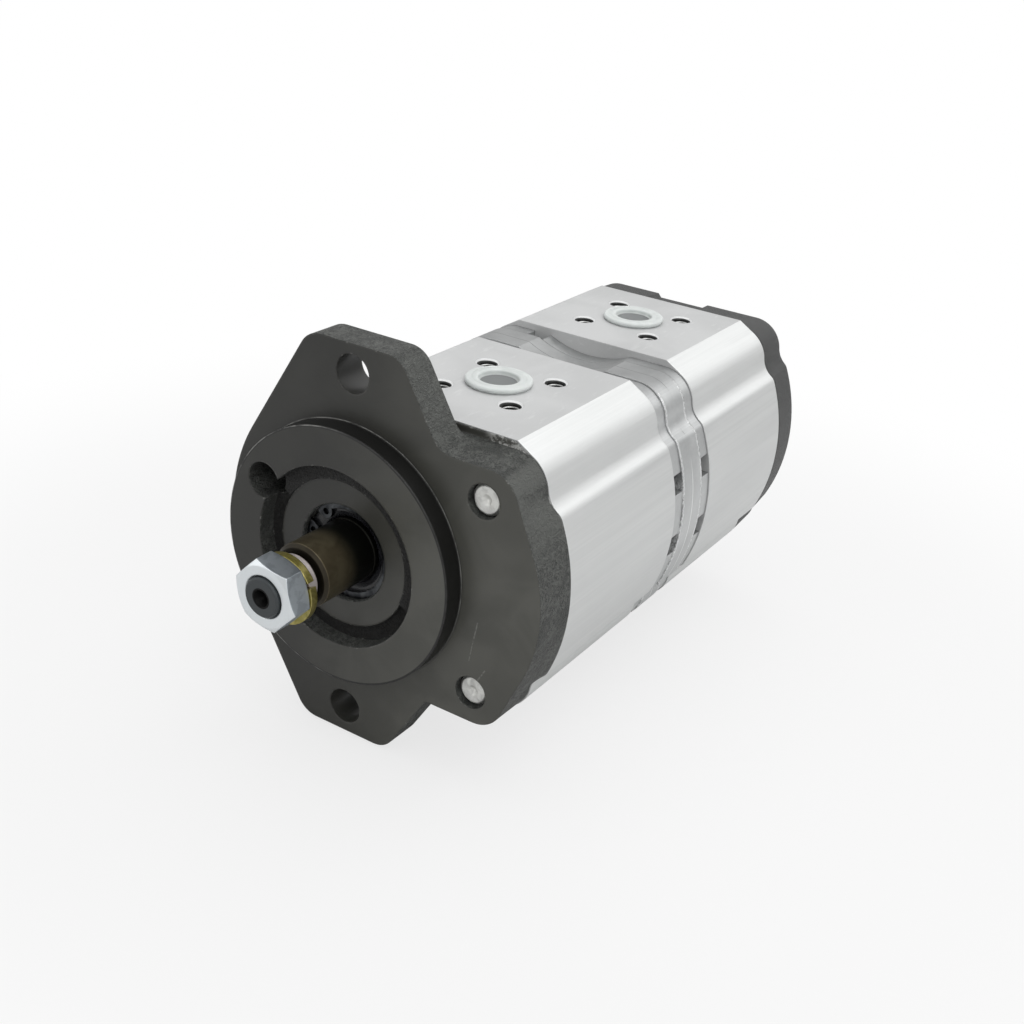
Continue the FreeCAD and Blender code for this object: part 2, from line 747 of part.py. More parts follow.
def splines(body, at, length):
    # straight grooves round the end of a shaft
    drawing = Drawing(body, "spline_sketch", at=at)
    rectangle(drawing, "spline_root", "-spline_width / 2", "spline_radius + 1", "spline_width / 2")
    cut = pocket(drawing, "spline_groove", length)
    polar(body, "splines", [cut], "spline_count")


def stage(front, length):
    # stations of one pair of gears: front face of the gears and their width
    gear_front = f"({front} + block_length + side_gap)"
    width = f"({length} - 2 * block_length - 2 * side_gap)"
    return gear_front, width


def drive_shaft():
    gear_front, width = stage("cover_depth", "front_length")
    gear_rear = f"{gear_front} + {width}"
    rear = f"({STACK_MIDDLE} - 1)"
    spline_start = f"{FRONT_REAR} + 0.5"
    nut_rear = "(neck_end + washer_depth)"
    profile = [
        ("thread_radius - tip_chamfer", "-tip_length"),
        ("thread_radius", "-tip_length + tip_chamfer"),
        ("thread_radius", f"-{nut_rear} - 0.3"),
        ("relief_radius", f"-{nut_rear} - 0.3"),
        ("relief_radius", "-neck_end"),
        ("neck_radius", "-neck_end"),
        ("neck_radius", "-undercut_end"),
        ("undercut_radius", "-undercut_end"),
        ("undercut_radius", "-shaft_end"),
        ("shaft_radius - shaft_chamfer", "-shaft_end"),
        ("shaft_radius", "-shaft_end + shaft_chamfer"),
        ("shaft_radius", "-shaft_step"),
        ("journal_radius", "0"),
        ("journal_radius", gear_front),
        (TIP_RADIUS, gear_front),
        (TIP_RADIUS, gear_rear),
        ("journal_radius", gear_rear),
        ("journal_radius", f"{spline_start} - 0.5"),
        ("spline_radius", spline_start),
        ("spline_radius", f"{rear} - 0.6"),
        ("spline_radius - 0.6", rear),
    ]
    body = gear_shaft("drive_shaft", "0", rear, profile, gear_front, width, 180 / SIZES["tooth_count"])
    splines(body, f"{rear} - {FRONT_REAR} - 2.5", f"{rear} - {FRONT_REAR}")
    centre = Drawing(body, "centre_sketch", "XZ_Plane")
    front = f"({rear} + tip_length)"
    centre.outline([("0", f"{front} - 4.5"), ("0", f"{front} + 0.5"), ("centre_hole + 0.3", f"{front} + 0.5")])
    turned(centre, "centre_hole", cut=True)
    seat = Drawing(body, "key_seat_sketch", "YZ_Plane")
    height = f"{rear} + key_station"
    middle = "-(shaft_radius + key_rise + key_radius - key_height)"
    seat.circle(middle, height, "key_radius + bearing_gap")
    pocket(seat, "key_seat", "key_width + bearing_gap", both=True)


def shaft_key():
    body = node("shaft_key", y="-key_station")
    drawing = Drawing(body, "outline", "YZ_Plane", "-key_width / 2")
    top = "shaft_radius + key_rise"
    half = "sqrt(pow(key_radius; 2) - pow(key_radius - key_height; 2))"
    drawing.outline([(f"-({top})", half), (f"-({top})", f"-{half}")], {1: ("key_radius", 1, False)})
    pad(drawing, "key", "key_width")


def rear_drive_gear():
    gear_front, width = stage(REAR_FRONT, "rear_length")
    rear = f"({REAR_REAR} - 1)"
    tip = f"({STACK_MIDDLE} + 1)"
    spline_end = f"{REAR_FRONT} - 0.5"
    profile = [
        ("spline_radius - 0.6", tip),
        ("spline_radius", f"{tip} + 0.6"),
        ("spline_radius", spline_end),
        ("journal_radius", f"{spline_end} + 0.5"),
        ("journal_radius", gear_front),
        (TIP_RADIUS, gear_front),
        (TIP_RADIUS, f"{gear_front} + {width}"),
        ("journal_radius", f"{gear_front} + {width}"),
        ("journal_radius", f"{rear} - 0.6"),
        ("journal_radius - 0.6", rear),
    ]
    body = gear_shaft("rear_drive_gear", "0", rear, profile, gear_front, width, 180 / SIZES["tooth_count"])
    splines(body, f"{rear} - {tip} + 1", f"{REAR_FRONT} - {tip} - 1.5")


def driven_gear(name, front, length):
    gear_front, width = stage(front, length)
    rear = f"({front} + {length} - 1)"
    tip = f"({front} + 1)"
    profile = [
        ("journal_radius - 0.6", tip),
        ("journal_radius", f"{tip} + 0.6"),
        ("journal_radius", gear_front),
        (TIP_RADIUS, gear_front),
        (TIP_RADIUS, f"{gear_front} + {width}"),
        ("journal_radius", f"{gear_front} + {width}"),
        ("journal_radius", f"{rear} - 0.6"),
        ("journal_radius - 0.6", rear),
    ]
    # a gap faces the drive gear's tooth
    gear_shaft(name, "centre_distance", rear, profile, gear_front, width, 0)


def shaft_coupling():
    body = node("shaft_coupling", y=f"{STACK_MIDDLE} + coupling_length / 2")
    drawing = Drawing(body, "sleeve_sketch")
    drawing.circle("0", "0", "coupling_radius")
    drawing.circle("0", "0", "spline_radius + bearing_gap")
    pad(drawing, "sleeve", "coupling_length")
    tooth = Drawing(body, "tooth_sketch")
    rectangle(tooth, "spline_root + 0.1", "-spline_width / 2 + 0.1", "spline_radius + 0.5", "spline_width / 2 - 0.1")
    polar(body, "teeth", [pad(tooth, "tooth", "coupling_length")], "spline_count")


def bearing_block(name, rear, seal_in_front):
    # Both bearings of one side in a single block. The outer face carries the seal.
    body = node(name, x=MIDDLE, y=rear)
    disc = Drawing(body, "block_sketch")
    disc.circle(MIDDLE, "0", f"{TIP_RADIUS} + tip_gap - block_gap")
    pad(disc, "half", "block_length")
    mirrored(body, "other_half", "YZ_Plane")
    bore = Drawing(body, "bush_bore_sketch", at="block_length")
    bore.circle(MIDDLE, "0", "bush_radius + bearing_gap")
    bush_bore = pocket(bore, "bush_bore")
    groove = Drawing(body, "seal_groove_sketch", at="block_length" if seal_in_front else "0")
    groove.circle(MIDDLE, "0", "pressure_seal_outer + gasket_gap")
    groove.circle(MIDDLE, "0", "pressure_seal_inner - gasket_gap")
    seal_groove = pocket(groove, "seal_groove", "pressure_seal_depth", reverse=not seal_in_front)
    mirrored(body, "both_bores", "YZ_Plane", [bush_bore, seal_groove])


def bush(name, x, rear):
    body = node(name, x=x, y=rear)
    drawing = Drawing(body, "bush_sketch")
    drawing.circle("0", "0", "bush_radius")
    drawing.circle("0", "0", "journal_radius + bearing_gap")
    pad(drawing, "bush", "bush_length")


def pressure_seal(name, rear):
    # shaped like a 3: round both bores, open on the suction side
    body = node(name, x=MIDDLE, y=rear)
    drawing = Drawing(body, "ring_sketch")
    drawing.circle(MIDDLE, "0", "pressure_seal_outer")
    drawing.circle(MIDDLE, "0", "pressure_seal_inner")
    pad(drawing, "ring", "pressure_seal_depth")
    mirrored(body, "other_ring", "YZ_Plane")
    cut = Drawing(body, "open_side_sketch", at="pressure_seal_depth")
    wide = "centre_distance + pressure_seal_outer"
    rectangle(cut, f"-({wide})", f"-({wide})", wide, "-pressure_seal_cut")
    pocket(cut, "open_side")


def gasket(name, rear):
    body = node(name, x=MIDDLE, y=rear)
    drawing = Drawing(body, "gasket_sketch")
    stadium(drawing, "gasket_inner + gasket_gap")
    stadium(drawing, "gasket_inner + gasket_gap + gasket_width")
    pad(drawing, "gasket", "gasket_depth")


def gear_stage(name, front, length):
    # bearings and seals on both sides of one pair of gears
    rear = f"({front} + {length})"
    sides = (("front", f"({front} + block_length)", True), ("rear", rear, False))
    for side, block_rear, in_front in sides:
        bearing_block(f"{name}_{side}_bearing_block", block_rear, in_front)
        seal_rear = f"{front} + pressure_seal_depth" if in_front else rear
        pressure_seal(f"{name}_{side}_pressure_seal", seal_rear)
        bush_rear = f"{block_rear} - (block_length - bush_length) / 2"
        bush(f"{name}_{side}_drive_bush", "0", bush_rear)
        bush(f"{name}_{side}_driven_bush", "centre_distance", bush_rear)
    gasket(f"{name}_front_gasket", f"{front} + gasket_depth")
    gasket(f"{name}_rear_gasket", rear)


def shaft_seal():
    depth = "seal_depth"
    body = node("shaft_seal", y=f"clip_slot - clip_front + {depth}")
    drawing = Drawing(body, "seal_profile", "XZ_Plane")
    lip = "journal_radius + 2 * bearing_gap"
    outer = "seal_radius - bearing_gap"
    points = [(outer, "0"), (outer, f"{depth} - 0.4"), (f"{outer} - 0.4", depth), ("journal_radius + 2", depth),
              ("journal_radius + 0.6", f"{depth} - 0.5"), (lip, f"{depth} - 0.9"),
              ("journal_radius + 0.5", f"{depth} - 1.6"), ("journal_radius + 1.4", f"{depth} - 2.2"),
              (lip, f"{depth} - 4.2"), ("journal_radius + 0.6", f"{depth} - 5.2"),
              ("journal_radius + 2.2", f"{depth} - 5.6"), ("journal_radius + 2.6", f"{depth} - 2.8"),
              (f"{outer} - 1.4", f"{depth} - 2.8"), (f"{outer} - 1.4", "0")]
    drawing.outline(points)
    turned(drawing, "seal")


def retaining_ring():
    body = node("retaining_ring", y="clip_slot - clip_front")
    ring = Drawing(body, "ring_sketch")
    ring.circle("0", "0", "clip_slot_radius - 2 * bearing_gap")
    ring.circle("0", "0", "clip_inner")
    pad(ring, "ring", "clip_depth")
    lugs = Drawing(body, "lug_sketch")
    holes = Drawing(body, "lug_hole_sketch", at="clip_depth")
    for angle in ("lug_first", "lug_second"):
        lugs.circle(f"lug_circle * cos({angle})", f"lug_circle * sin({angle})", "lug_radius")
        holes.circle(f"lug_circle * cos({angle})", f"lug_circle * sin({angle})", "lug_hole")
    pad(lugs, "lugs", "clip_depth")
    gap = Drawing(body, "gap_sketch", at="clip_depth")
    points = [("0", "0")]
    for side in ("-", "+"):
        angle = f"((lug_first + lug_second {side} clip_opening) / 2)"
        points.append((f"1.5 * seal_radius * cos({angle})", f"1.5 * seal_radius * sin({angle})"))
    gap.outline(points)
    pocket(gap, "gap")
    pocket(holes, "lug_holes")


def hexagon(drawing, flats, turn):
    corner = f"{flats} / 2 / cos(30)"
    points = []
    for step in range(6):
        angle = f"({turn} + {60 * step})"
        points.append((f"{corner} * cos({angle})", f"{corner} * sin({angle})"))
    drawing.outline(points)


def hex_chamfer(body, name, flats, level, up):
    # cone that trims the corners of a hexagon at one face
    drawing = Drawing(body, name + "_sketch", "XZ_Plane")
    sign = "+" if up else "-"
    inner = f"{flats} / 2 - 0.3"
    outer = f"{flats} / 2 / cos(30) + 0.5"
    drop = f"({outer} - ({inner})) * tan(28)"
    back = "-" if up else "+"
    drawing.outline([(inner, level), (f"{outer}", f"{level} {back} {drop}"), (outer, f"{level} {sign} 0.5"),
                     (inner, f"{level} {sign} 0.5")])
    turned(drawing, name, cut=True)


def shaft_nut():
    body = node("shaft_nut", y="-(neck_end + washer_depth)")
    drawing = Drawing(body, "hexagon_sketch")
    hexagon(drawing, "nut_flats", "nut_turn")
    pad(drawing, "hexagon", "nut_depth")
    hex_chamfer(body, "front_chamfer", "nut_flats", "nut_depth", True)
    hex_chamfer(body, "rear_chamfer", "nut_flats", "0", False)
    bore = Drawing(body, "bore_sketch", "XZ_Plane")
    hole = "thread_radius + 2 * bearing_gap"
    bore.outline([("0", "-1"), (hole, "-1"), (hole, "nut_depth - 0.5"), (f"{hole} + 0.5", "nut_depth"),
                  (f"{hole} + 0.5", "nut_depth + 1"), ("0", "nut_depth + 1")])
    turned(bore, "bore", cut=True)


def spring_washer():
    body = node("spring_washer", y="-neck_end", z="-washer_drop")
    drawing = Drawing(body, "washer_sketch")
    drawing.circle("0", "0", "washer_outer")
    drawing.circle("0", "0", "washer_inner")
    pad(drawing, "washer", "washer_depth")
    split = Drawing(body, "split_sketch", at="washer_depth")
    along = "washer_gap_angle"
    points = []
    for radius, side in (("2", -1), ("1.5 * washer_outer", -1), ("1.5 * washer_outer", 1), ("2", 1)):
        across = f"{side} * washer_gap / 2"
        points.append((f"{radius} * cos({along}) - {across} * sin({along})",
                       f"{radius} * sin({along}) + {across} * cos({along})"))
    split.outline(points)
    pocket(split, "split")


def plug(name, station, top, bore, wide):
    # thin-walled moulded cup with a flat rim that rests on the port face
    body = node(name, x=MIDDLE, y=station, z="port_face" if top else "-port_face", lying=False)
    if not top:
        body.Placement.Rotation = FreeCAD.Rotation(V(1, 0, 0), 180)
    drawing = Drawing(body, "plug_profile", "XZ_Plane")
    rim = f"{wide}"
    stem = f"{bore} - plug_gap"
    sink = f"{bore} - plug_wall"
    points = [("0", "plug_height - plug_sink"), (sink, "plug_height - plug_sink"), (f"{sink} + 0.3", "plug_height"),
              (f"{rim} - 0.6", "plug_height"), (rim, "plug_height - 0.6"), (rim, "0"), (stem, "0"),
              (stem, "-plug_length"), (f"{stem} - plug_wall", "-plug_length"), (f"{stem} - plug_wall", "-0.6"),
              ("0", "-0.6")]
    drawing.outline(points)
    turned(drawing, "plug")


def tie_bolt(number, x, z, tip, rear):
    # socket-head bolt, threaded end toward the flange
    body = node(f"tie_bolt_{number}", x=f"{MIDDLE} + {x}", y=rear, z=z)
    drawing = Drawing(body, "profile", "XZ_Plane")
    front = f"({rear} - ({tip}))"
    drawing.outline([("0", "0"), ("bolt_head_radius - 0.6", "0"), ("bolt_head_radius", "0.6"),
                     ("bolt_head_radius", "bolt_head"), ("bolt_radius", "bolt_head"),
                     ("bolt_radius", f"{front} - bolt_point"), ("bolt_radius - bolt_point", front), ("0", front)])
    turned(drawing, "turned")
    socket = Drawing(body, "socket_sketch")
    hexagon(socket, "bolt_socket", "15")
    pocket(socket, "socket", "bolt_socket_depth", reverse=True)
    dimple = Drawing(body, "dimple_sketch", "XZ_Plane")
    dimple.outline([("0", f"{front} + 0.5"), ("0", f"{front} - 1"), ("2.4", f"{front} + 0.5")])
    turned(dimple, "dimple", cut=True)
    return body


def group(name, members):
    # identical fasteners share one node
    for member in members:
        nodes.remove(member)
    compound = doc.addObject("Part::Compound", name)
    compound.Label = name
    compound.Links = members
    nodes.append(compound)
    doc.recompute()


def tie_bolts():
    rear = f"({END_REAR} - bolt_sink)"
    bolts = []
    for number, (side, z) in enumerate(((1, "bolt_z"), (1, "-bolt_z"), (-1, "bolt_z"), (-1, "-bolt_z")), 1):
        tip = "bolt_recess" if side > 0 else "bolt_blind"
        bolts.append(tie_bolt(number, f"{side} * bolt_x", z, tip, rear))
    group("tie_bolts", bolts)


def build():
    fill_sheet()
    front_cover()
    pump_body("front_body", FRONT_REAR, "front_length", "front_port")
    end_plate("front_end_plate", PLATE_REAR, False)
    coupling_housing()
    end_plate("rear_end_plate", REAR_FRONT, True)
    pump_body("rear_body", REAR_REAR, "rear_length", "rear_port")
    rear_cover()
    drive_shaft()
    shaft_key()
    driven_gear("front_driven_gear", "cover_depth", "front_length")
    rear_drive_gear()
    driven_gear("rear_driven_gear", REAR_FRONT, "rear_length")
    shaft_coupling()
    gear_stage("front", "cover_depth", "front_length")
    gear_stage("rear", REAR_FRONT, "rear_length")
    shaft_seal()
    retaining_ring()
    shaft_nut()
    spring_washer()
    outlet_rim = "(outlet_radius + plug_flange)"
    inlet_rim = "(inlet_radius + plug_flange)"
    plug("front_outlet_plug", "front_port", True, "outlet_radius", outlet_rim)
    plug("rear_outlet_plug", "rear_port", True, "outlet_radius", outlet_rim)
    plug("front_inlet_plug", "front_port", False, "inlet_radius", inlet_rim)
    plug("rear_inlet_plug", "rear_port", False, "inlet_radius", inlet_rim)
    tie_bolts()


def write():
    doc.recompute()
    for item in doc.Objects:
        if "Invalid" in item.State or "Error" in item.State:
            raise ValueError(f"{item.Label} did not rebuild: {item.State}")
    os.makedirs("parts", exist_ok=True)
    for item in nodes:
        if item.Shape.isNull() or not item.Shape.isValid():
            raise ValueError(f"{item.Label} has no valid shape")
        item.Shape.exportStep(f"parts/{item.Label}.step")


build()
write()
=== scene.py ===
import json
import math

import bpy
import numpy as np
from mathutils import Matrix, Vector


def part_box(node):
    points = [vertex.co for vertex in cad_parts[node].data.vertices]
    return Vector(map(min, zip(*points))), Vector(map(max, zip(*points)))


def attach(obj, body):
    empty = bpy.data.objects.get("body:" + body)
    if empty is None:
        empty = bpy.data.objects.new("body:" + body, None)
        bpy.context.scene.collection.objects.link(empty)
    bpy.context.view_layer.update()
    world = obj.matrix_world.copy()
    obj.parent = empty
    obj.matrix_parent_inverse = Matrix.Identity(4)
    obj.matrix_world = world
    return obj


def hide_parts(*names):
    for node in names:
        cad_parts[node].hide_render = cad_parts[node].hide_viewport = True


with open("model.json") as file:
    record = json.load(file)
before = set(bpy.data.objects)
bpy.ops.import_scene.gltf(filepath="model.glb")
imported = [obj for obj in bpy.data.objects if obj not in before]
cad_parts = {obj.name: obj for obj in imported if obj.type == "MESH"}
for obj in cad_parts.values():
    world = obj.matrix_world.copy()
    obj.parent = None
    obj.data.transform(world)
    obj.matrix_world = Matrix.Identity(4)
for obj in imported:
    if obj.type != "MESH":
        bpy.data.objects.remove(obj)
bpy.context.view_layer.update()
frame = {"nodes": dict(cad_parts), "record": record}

mm = 0.001

# millimetres: each port's middle and screw circle from the record's mounts, its face from the body's box
mounts = {mount["name"]: mount for mount in frame["record"]["mounts"]}
portFace = round(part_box("front_body")[1][2] / mm, 3)
ports = {}
for end in ("front", "rear"):
    for kind, side in (("outlet", 1), ("inlet", -1)):
        mount = mounts[f"{end}_{kind}_screws"]
        ports[end, kind] = {"side": side, "x": mount["pos_m"][0] / mm, "y": mount["pos_m"][1] / mm,
                            "circle": mount["dims"]["pcd_mm"]}
portX = ports["front", "outlet"]["x"]


def addNode(tree, kind, **settings):
    node = tree.nodes.new(kind)
    for name, setting in settings.items():
        setattr(node, name, setting)
    return node


def feed(tree, socket, source):
    # a number or colour is set on the socket, another node's output is linked
    if isinstance(source, bpy.types.NodeSocket):
        tree.links.new(source, socket)
    elif isinstance(source, (tuple, list)):
        socket.default_value = tuple(source) + (1.0,) * (len(socket.default_value) - len(source))
    else:
        socket.default_value = source


def maths(tree, operation, first, second=0.0, clamp=False):
    node = addNode(tree, "ShaderNodeMath", operation=operation, use_clamp=clamp)
    feed(tree, node.inputs[0], first)
    feed(tree, node.inputs[1], second)
    return node.outputs[0]


def chain(tree, operation, parts):
    result = parts[0]
    for part in parts[1:]:
        result = maths(tree, operation, result, part)
    return result


def times(tree, *parts):
    return chain(tree, "MULTIPLY", parts)


def plus(tree, *parts):
    return chain(tree, "ADD", parts)


def largest(tree, *parts):
    return chain(tree, "MAXIMUM", parts)


def minus(tree, first, second):
    return maths(tree, "SUBTRACT", first, second)


def inverse(tree, source):
    return minus(tree, 1.0, source)


def unsigned(tree, source):
    return maths(tree, "ABSOLUTE", source)


def vectorMath(tree, operation, first, second=None):
    node = addNode(tree, "ShaderNodeVectorMath", operation=operation)
    feed(tree, node.inputs[0], first)
    if second is not None:
        feed(tree, node.inputs[1], second)
    return node.outputs["Value"] if operation in ("DOT_PRODUCT", "LENGTH") else node.outputs["Vector"]


def ramp(tree, source, low, high, lowTo=0.0, highTo=1.0):
    node = addNode(tree, "ShaderNodeMapRange", interpolation_type="SMOOTHSTEP")
    feed(tree, node.inputs["Value"], source)
    for name, setting in (("From Min", low), ("From Max", high), ("To Min", lowTo), ("To Max", highTo)):
        feed(tree, node.inputs[name], setting)
    return node.outputs["Result"]


def band(tree, source, low, high, soft):
    # 1 between low and high, fading over soft on both sides
    return times(tree, ramp(tree, source, low - soft, low), ramp(tree, source, high, high + soft, 1.0, 0.0))


def line(tree, source, middle, half, soft):
    return band(tree, source, middle - half, middle + half, soft)


def mixColour(tree, share, first, second, blend="MIX"):
    node = addNode(tree, "ShaderNodeMix", data_type="RGBA", blend_type=blend)
    feed(tree, node.inputs[0], share)
    feed(tree, node.inputs[6], first)
    feed(tree, node.inputs[7], second)
    return node.outputs[2]


def shaded(tree, colour, share):
    return mixColour(tree, 1.0, colour, combine(tree, share, share, share), "MULTIPLY")


def noise(tree, vector, scale, detail=2.0, roughness=0.5, distortion=0.0):
    node = addNode(tree, "ShaderNodeTexNoise")
    feed(tree, node.inputs["Vector"], vector)
    feed(tree, node.inputs["Scale"], scale)
    feed(tree, node.inputs["Detail"], detail)
    feed(tree, node.inputs["Roughness"], roughness)
    feed(tree, node.inputs["Distortion"], distortion)
    return node.outputs["Fac"]


def combine(tree, x, y, z):
    node = addNode(tree, "ShaderNodeCombineXYZ")
    for socket, source in zip(node.inputs, (x, y, z)):
        feed(tree, socket, source)
    return node.outputs[0]


def objectPlace(tree, stretch=(1, 1, 1), shift=(0, 0, 0)):
    mapping = addNode(tree, "ShaderNodeMapping")
    feed(tree, mapping.inputs["Vector"], addNode(tree, "ShaderNodeTexCoord").outputs["Object"])
    mapping.inputs["Scale"].default_value = stretch
    mapping.inputs["Location"].default_value = shift
    return mapping.outputs["Vector"]


def splitPlace(tree):
    # x, y and z of the surface in millimetres
    split = addNode(tree, "ShaderNodeSeparateXYZ")
    feed(tree, split.inputs[0], objectPlace(tree, (1 / mm, 1 / mm, 1 / mm)))
    return split.outputs


def distanceFrom(tree, x, z, centre=(0.0, 0.0)):
    # across two directions; without a centre, x and z count from the drive shaft's axis
    if centre != (0.0, 0.0):
        x, z = minus(tree, x, centre[0]), minus(tree, z, centre[1])
    return maths(tree, "SQRT", plus(tree, times(tree, x, x), times(tree, z, z)))


def within(tree, x, z, hole):
    # 1 inside a round hole given by its middle and radius, seen along the shaft
    radius = hole[2]
    return ramp(tree, distanceFrom(tree, x, z, hole[:2]), radius + 0.05, radius)


def facing(tree, axis):
    # how squarely the face looks along an axis, -1 to 1
    normal = addNode(tree, "ShaderNodeNewGeometry").outputs["True Normal"]
    return vectorMath(tree, "DOT_PRODUCT", normal, axis)


def bump(tree, height, strength, distance, normal=None):
    # the distance is in millimetres
    node = addNode(tree, "ShaderNodeBump")
    feed(tree, node.inputs["Height"], height)
    feed(tree, node.inputs["Strength"], strength)
    feed(tree, node.inputs["Distance"], distance * mm)
    if normal is not None:
        feed(tree, node.inputs["Normal"], normal)
    return node.outputs["Normal"]


def startGroup(name, inputs, outputs):
    group = bpy.data.node_groups.new(name, "ShaderNodeTree")
    for label, kind, setting in inputs:
        socket = group.interface.new_socket(label, in_out="INPUT", socket_type=kind)
        socket.default_value = setting
    for label, kind in outputs:
        group.interface.new_socket(label, in_out="OUTPUT", socket_type=kind)
    return group, group.nodes.new("NodeGroupInput").outputs, group.nodes.new("NodeGroupOutput").inputs


def useGroup(tree, group, **inputs):
    node = addNode(tree, "ShaderNodeGroup", node_tree=group)
    for label, source in inputs.items():
        feed(tree, node.inputs[label], source)
    return node.outputs


def makeEdgeGroup():
    # how far the surface turns within Radius, in metres: 0 on flats, 1 on sharp edges
    group, given, result = startGroup(
        "edgeWear",
        [("Radius", "NodeSocketFloat", 0.0006), ("Breakup", "NodeSocketFloat", 300.0)],
        [("Edge", "NodeSocketFloat"), ("Chips", "NodeSocketFloat"), ("Normal", "NodeSocketVector")],
    )
    bevel = addNode(group, "ShaderNodeBevel", samples=6)
    feed(group, bevel.inputs["Radius"], given["Radius"])
    flat = addNode(group, "ShaderNodeNewGeometry").outputs["Normal"]
    turn = ramp(group, inverse(group, vectorMath(group, "DOT_PRODUCT", bevel.outputs[0], flat)), 0.01, 0.14)
    grain = noise(group, objectPlace(group), given["Breakup"], 3.0)
    feed(group, result["Edge"], times(group, turn, ramp(group, grain, 0.35, 0.65)))
    feed(group, result["Chips"], times(group, turn, ramp(group, grain, 0.6, 0.66)))
    feed(group, result["Normal"], bevel.outputs[0])
    return group


def makeCastGroup():
    # sand-cast skin: wrinkles and lumps over fine grit
    group, given, result = startGroup(
        "castSkin",
        [("Scale", "NodeSocketFloat", 500.0)],
        [("Height", "NodeSocketFloat"), ("Speckle", "NodeSocketFloat")],
    )
    place = objectPlace(group)
    lumps = noise(group, place, given["Scale"], 4.0, 0.62, 1.4)
    grit = noise(group, place, times(group, given["Scale"], 3.3), 3.0, 0.65)
    height = plus(group, times(group, lumps, 0.6), times(group, grit, 0.4))
    feed(group, result["Height"], height)
    feed(group, result["Speckle"], ramp(group, height, 0.36, 0.66))
    return group


def makeStreakGroup():
    # die lines that run along the extrusion, fine ones over broad ones
    group, given, result = startGroup(
        "extrusionLines",
        [("Scale", "NodeSocketFloat", 600.0)],
        [("Fine", "NodeSocketFloat"), ("Broad", "NodeSocketFloat")],
    )
    feed(group, result["Fine"], noise(group, objectPlace(group, (1, 0.012, 1)), given["Scale"], 5.0, 0.7))
    place = objectPlace(group, (1, 0.05, 1), (0.3, 0.1, 0.7))
    feed(group, result["Broad"], noise(group, place, times(group, given["Scale"], 0.12), 3.0))
    return group


def makeSmudgeGroup():
    # soft blotches, and finer marks of handling
    group, given, result = startGroup(
        "handling",
        [("Scale", "NodeSocketFloat", 40.0)],
        [("Blotch", "NodeSocketFloat"), ("Marks", "NodeSocketFloat")],
    )
    blotch = noise(group, objectPlace(group), given["Scale"], 3.0, 0.55, 0.6)
    feed(group, result["Blotch"], ramp(group, blotch, 0.35, 0.7))
    marks = noise(group, objectPlace(group, (1, 0.25, 1.6)), times(group, given["Scale"], 14.0), 4.0, 0.7)
    feed(group, result["Marks"], ramp(group, marks, 0.55, 0.75))
    return group


def makeScratchGroup():
    # 1 on a broken straight mark from Start to Stop, in millimetres seen along the shaft
    group, given, result = startGroup(
        "scratch",
        [("Start", "NodeSocketVector", (0, 0, 0)), ("Stop", "NodeSocketVector", (0, 0, 10)),
         ("Width", "NodeSocketFloat", 0.2)],
        [("Mark", "NodeSocketFloat")],
    )
    along = vectorMath(group, "SUBTRACT", given["Stop"], given["Start"])
    away = vectorMath(group, "SUBTRACT", objectPlace(group, (1 / mm, 0, 1 / mm)), given["Start"])
    share = maths(group, "DIVIDE", vectorMath(group, "DOT_PRODUCT", away, along),
                  vectorMath(group, "DOT_PRODUCT", along, along), True)
    nearest = vectorMath(group, "MULTIPLY", along, combine(group, share, share, share))
    distance = vectorMath(group, "LENGTH", vectorMath(group, "SUBTRACT", away, nearest))
    broken = ramp(group, noise(group, objectPlace(group), 900.0, 3.0), 0.38, 0.55)
    feed(group, result["Mark"], times(group, ramp(group, distance, 0.0, given["Width"], 1.0, 0.0), broken))
    return group


edgeGroup = makeEdgeGroup()
castGroup = makeCastGroup()
streakGroup = makeStreakGroup()
smudgeGroup = makeSmudgeGroup()
scratchGroup = makeScratchGroup()


def startMaterial(name):
    material = bpy.data.materials.new(name)
    material.use_nodes = True
    tree = material.node_tree
    return material, tree, tree.nodes["Principled BSDF"].inputs


# places in the dictionaries of looks are millimetres in the part's frame, pairs of them the ends of a fade;
# scales of noise count per metre
frontIron = {
    "machined": (0.0195, 0.0195, 0.0168), "machinedLight": (0.027, 0.027, 0.0235), "machinedRoughness": 0.38,
    "cast": (0.007, 0.0078, 0.0068), "castLight": (0.106, 0.111, 0.102), "castRoughness": 0.52,
    "castScale": 900.0, "wrinkleScale": 640.0, "wrinkleShare": 0.75, "bumpDepth": 1.6,
    "patch": (0.024, 0.027, 0.024), "patchScale": 90.0, "patchShare": 0.6,
    # the wall colour is painted shade on the pilot boss; the well colours are painted shade in the groove and
    # the blind hole
    "wall": (0.004, 0.004, 0.0035), "shadedWell": (0.006, 0.006, 0.0055), "shadedWellLight": (0.016, 0.016, 0.015),
    "bossRadius": 40.0, "bossFront": (-6.9, -6.7),
    "grooveRadii": (23.15, 27.95), "grooveDepths": (-3.6, -0.5),
    "mountHole": (0.0, 54.5, 5.9), "blindHole": (-26.5, 16.5, 5.9), "blindHoleTop": (-6.8, -6.6),
    # painted light: the turned faces grow lighter toward the driven side
    "paintedLightAcross": (-20.0, 45.0), "paintedLightShares": (0.9, 2.9),
    # painted highlight on the block's upper corner
    "highlightFacing": (0.77, 0.0, 0.64), "highlightAcross": (40.0, 48.0), "highlightShares": (0.4, 0.85),
    "rimHeight": (40.5, 41.2), "rimDepth": (13.9, 14.2), "rimOuter": (17.0, 22.0),
    "shoulderDepth": (14.2, 14.6), "shoulderAcross": (45.0, 50.0), "shoulderHeight": (20.0, 30.0),
    "chip": (0.55, 0.55, 0.53), "chipShare": 0.85, "bare": (0.42, 0.42, 0.4), "bareShare": 0.55,
    "scratches": [((46.2, 0, -7.0), (45.3, 0, -12.5), 0.32), ((45.2, 0, -13.0), (44.2, 0, -20.0), 0.2),
                  ((49.7, 0, -21.3), (47.6, 0, -25.2), 0.32)],
}


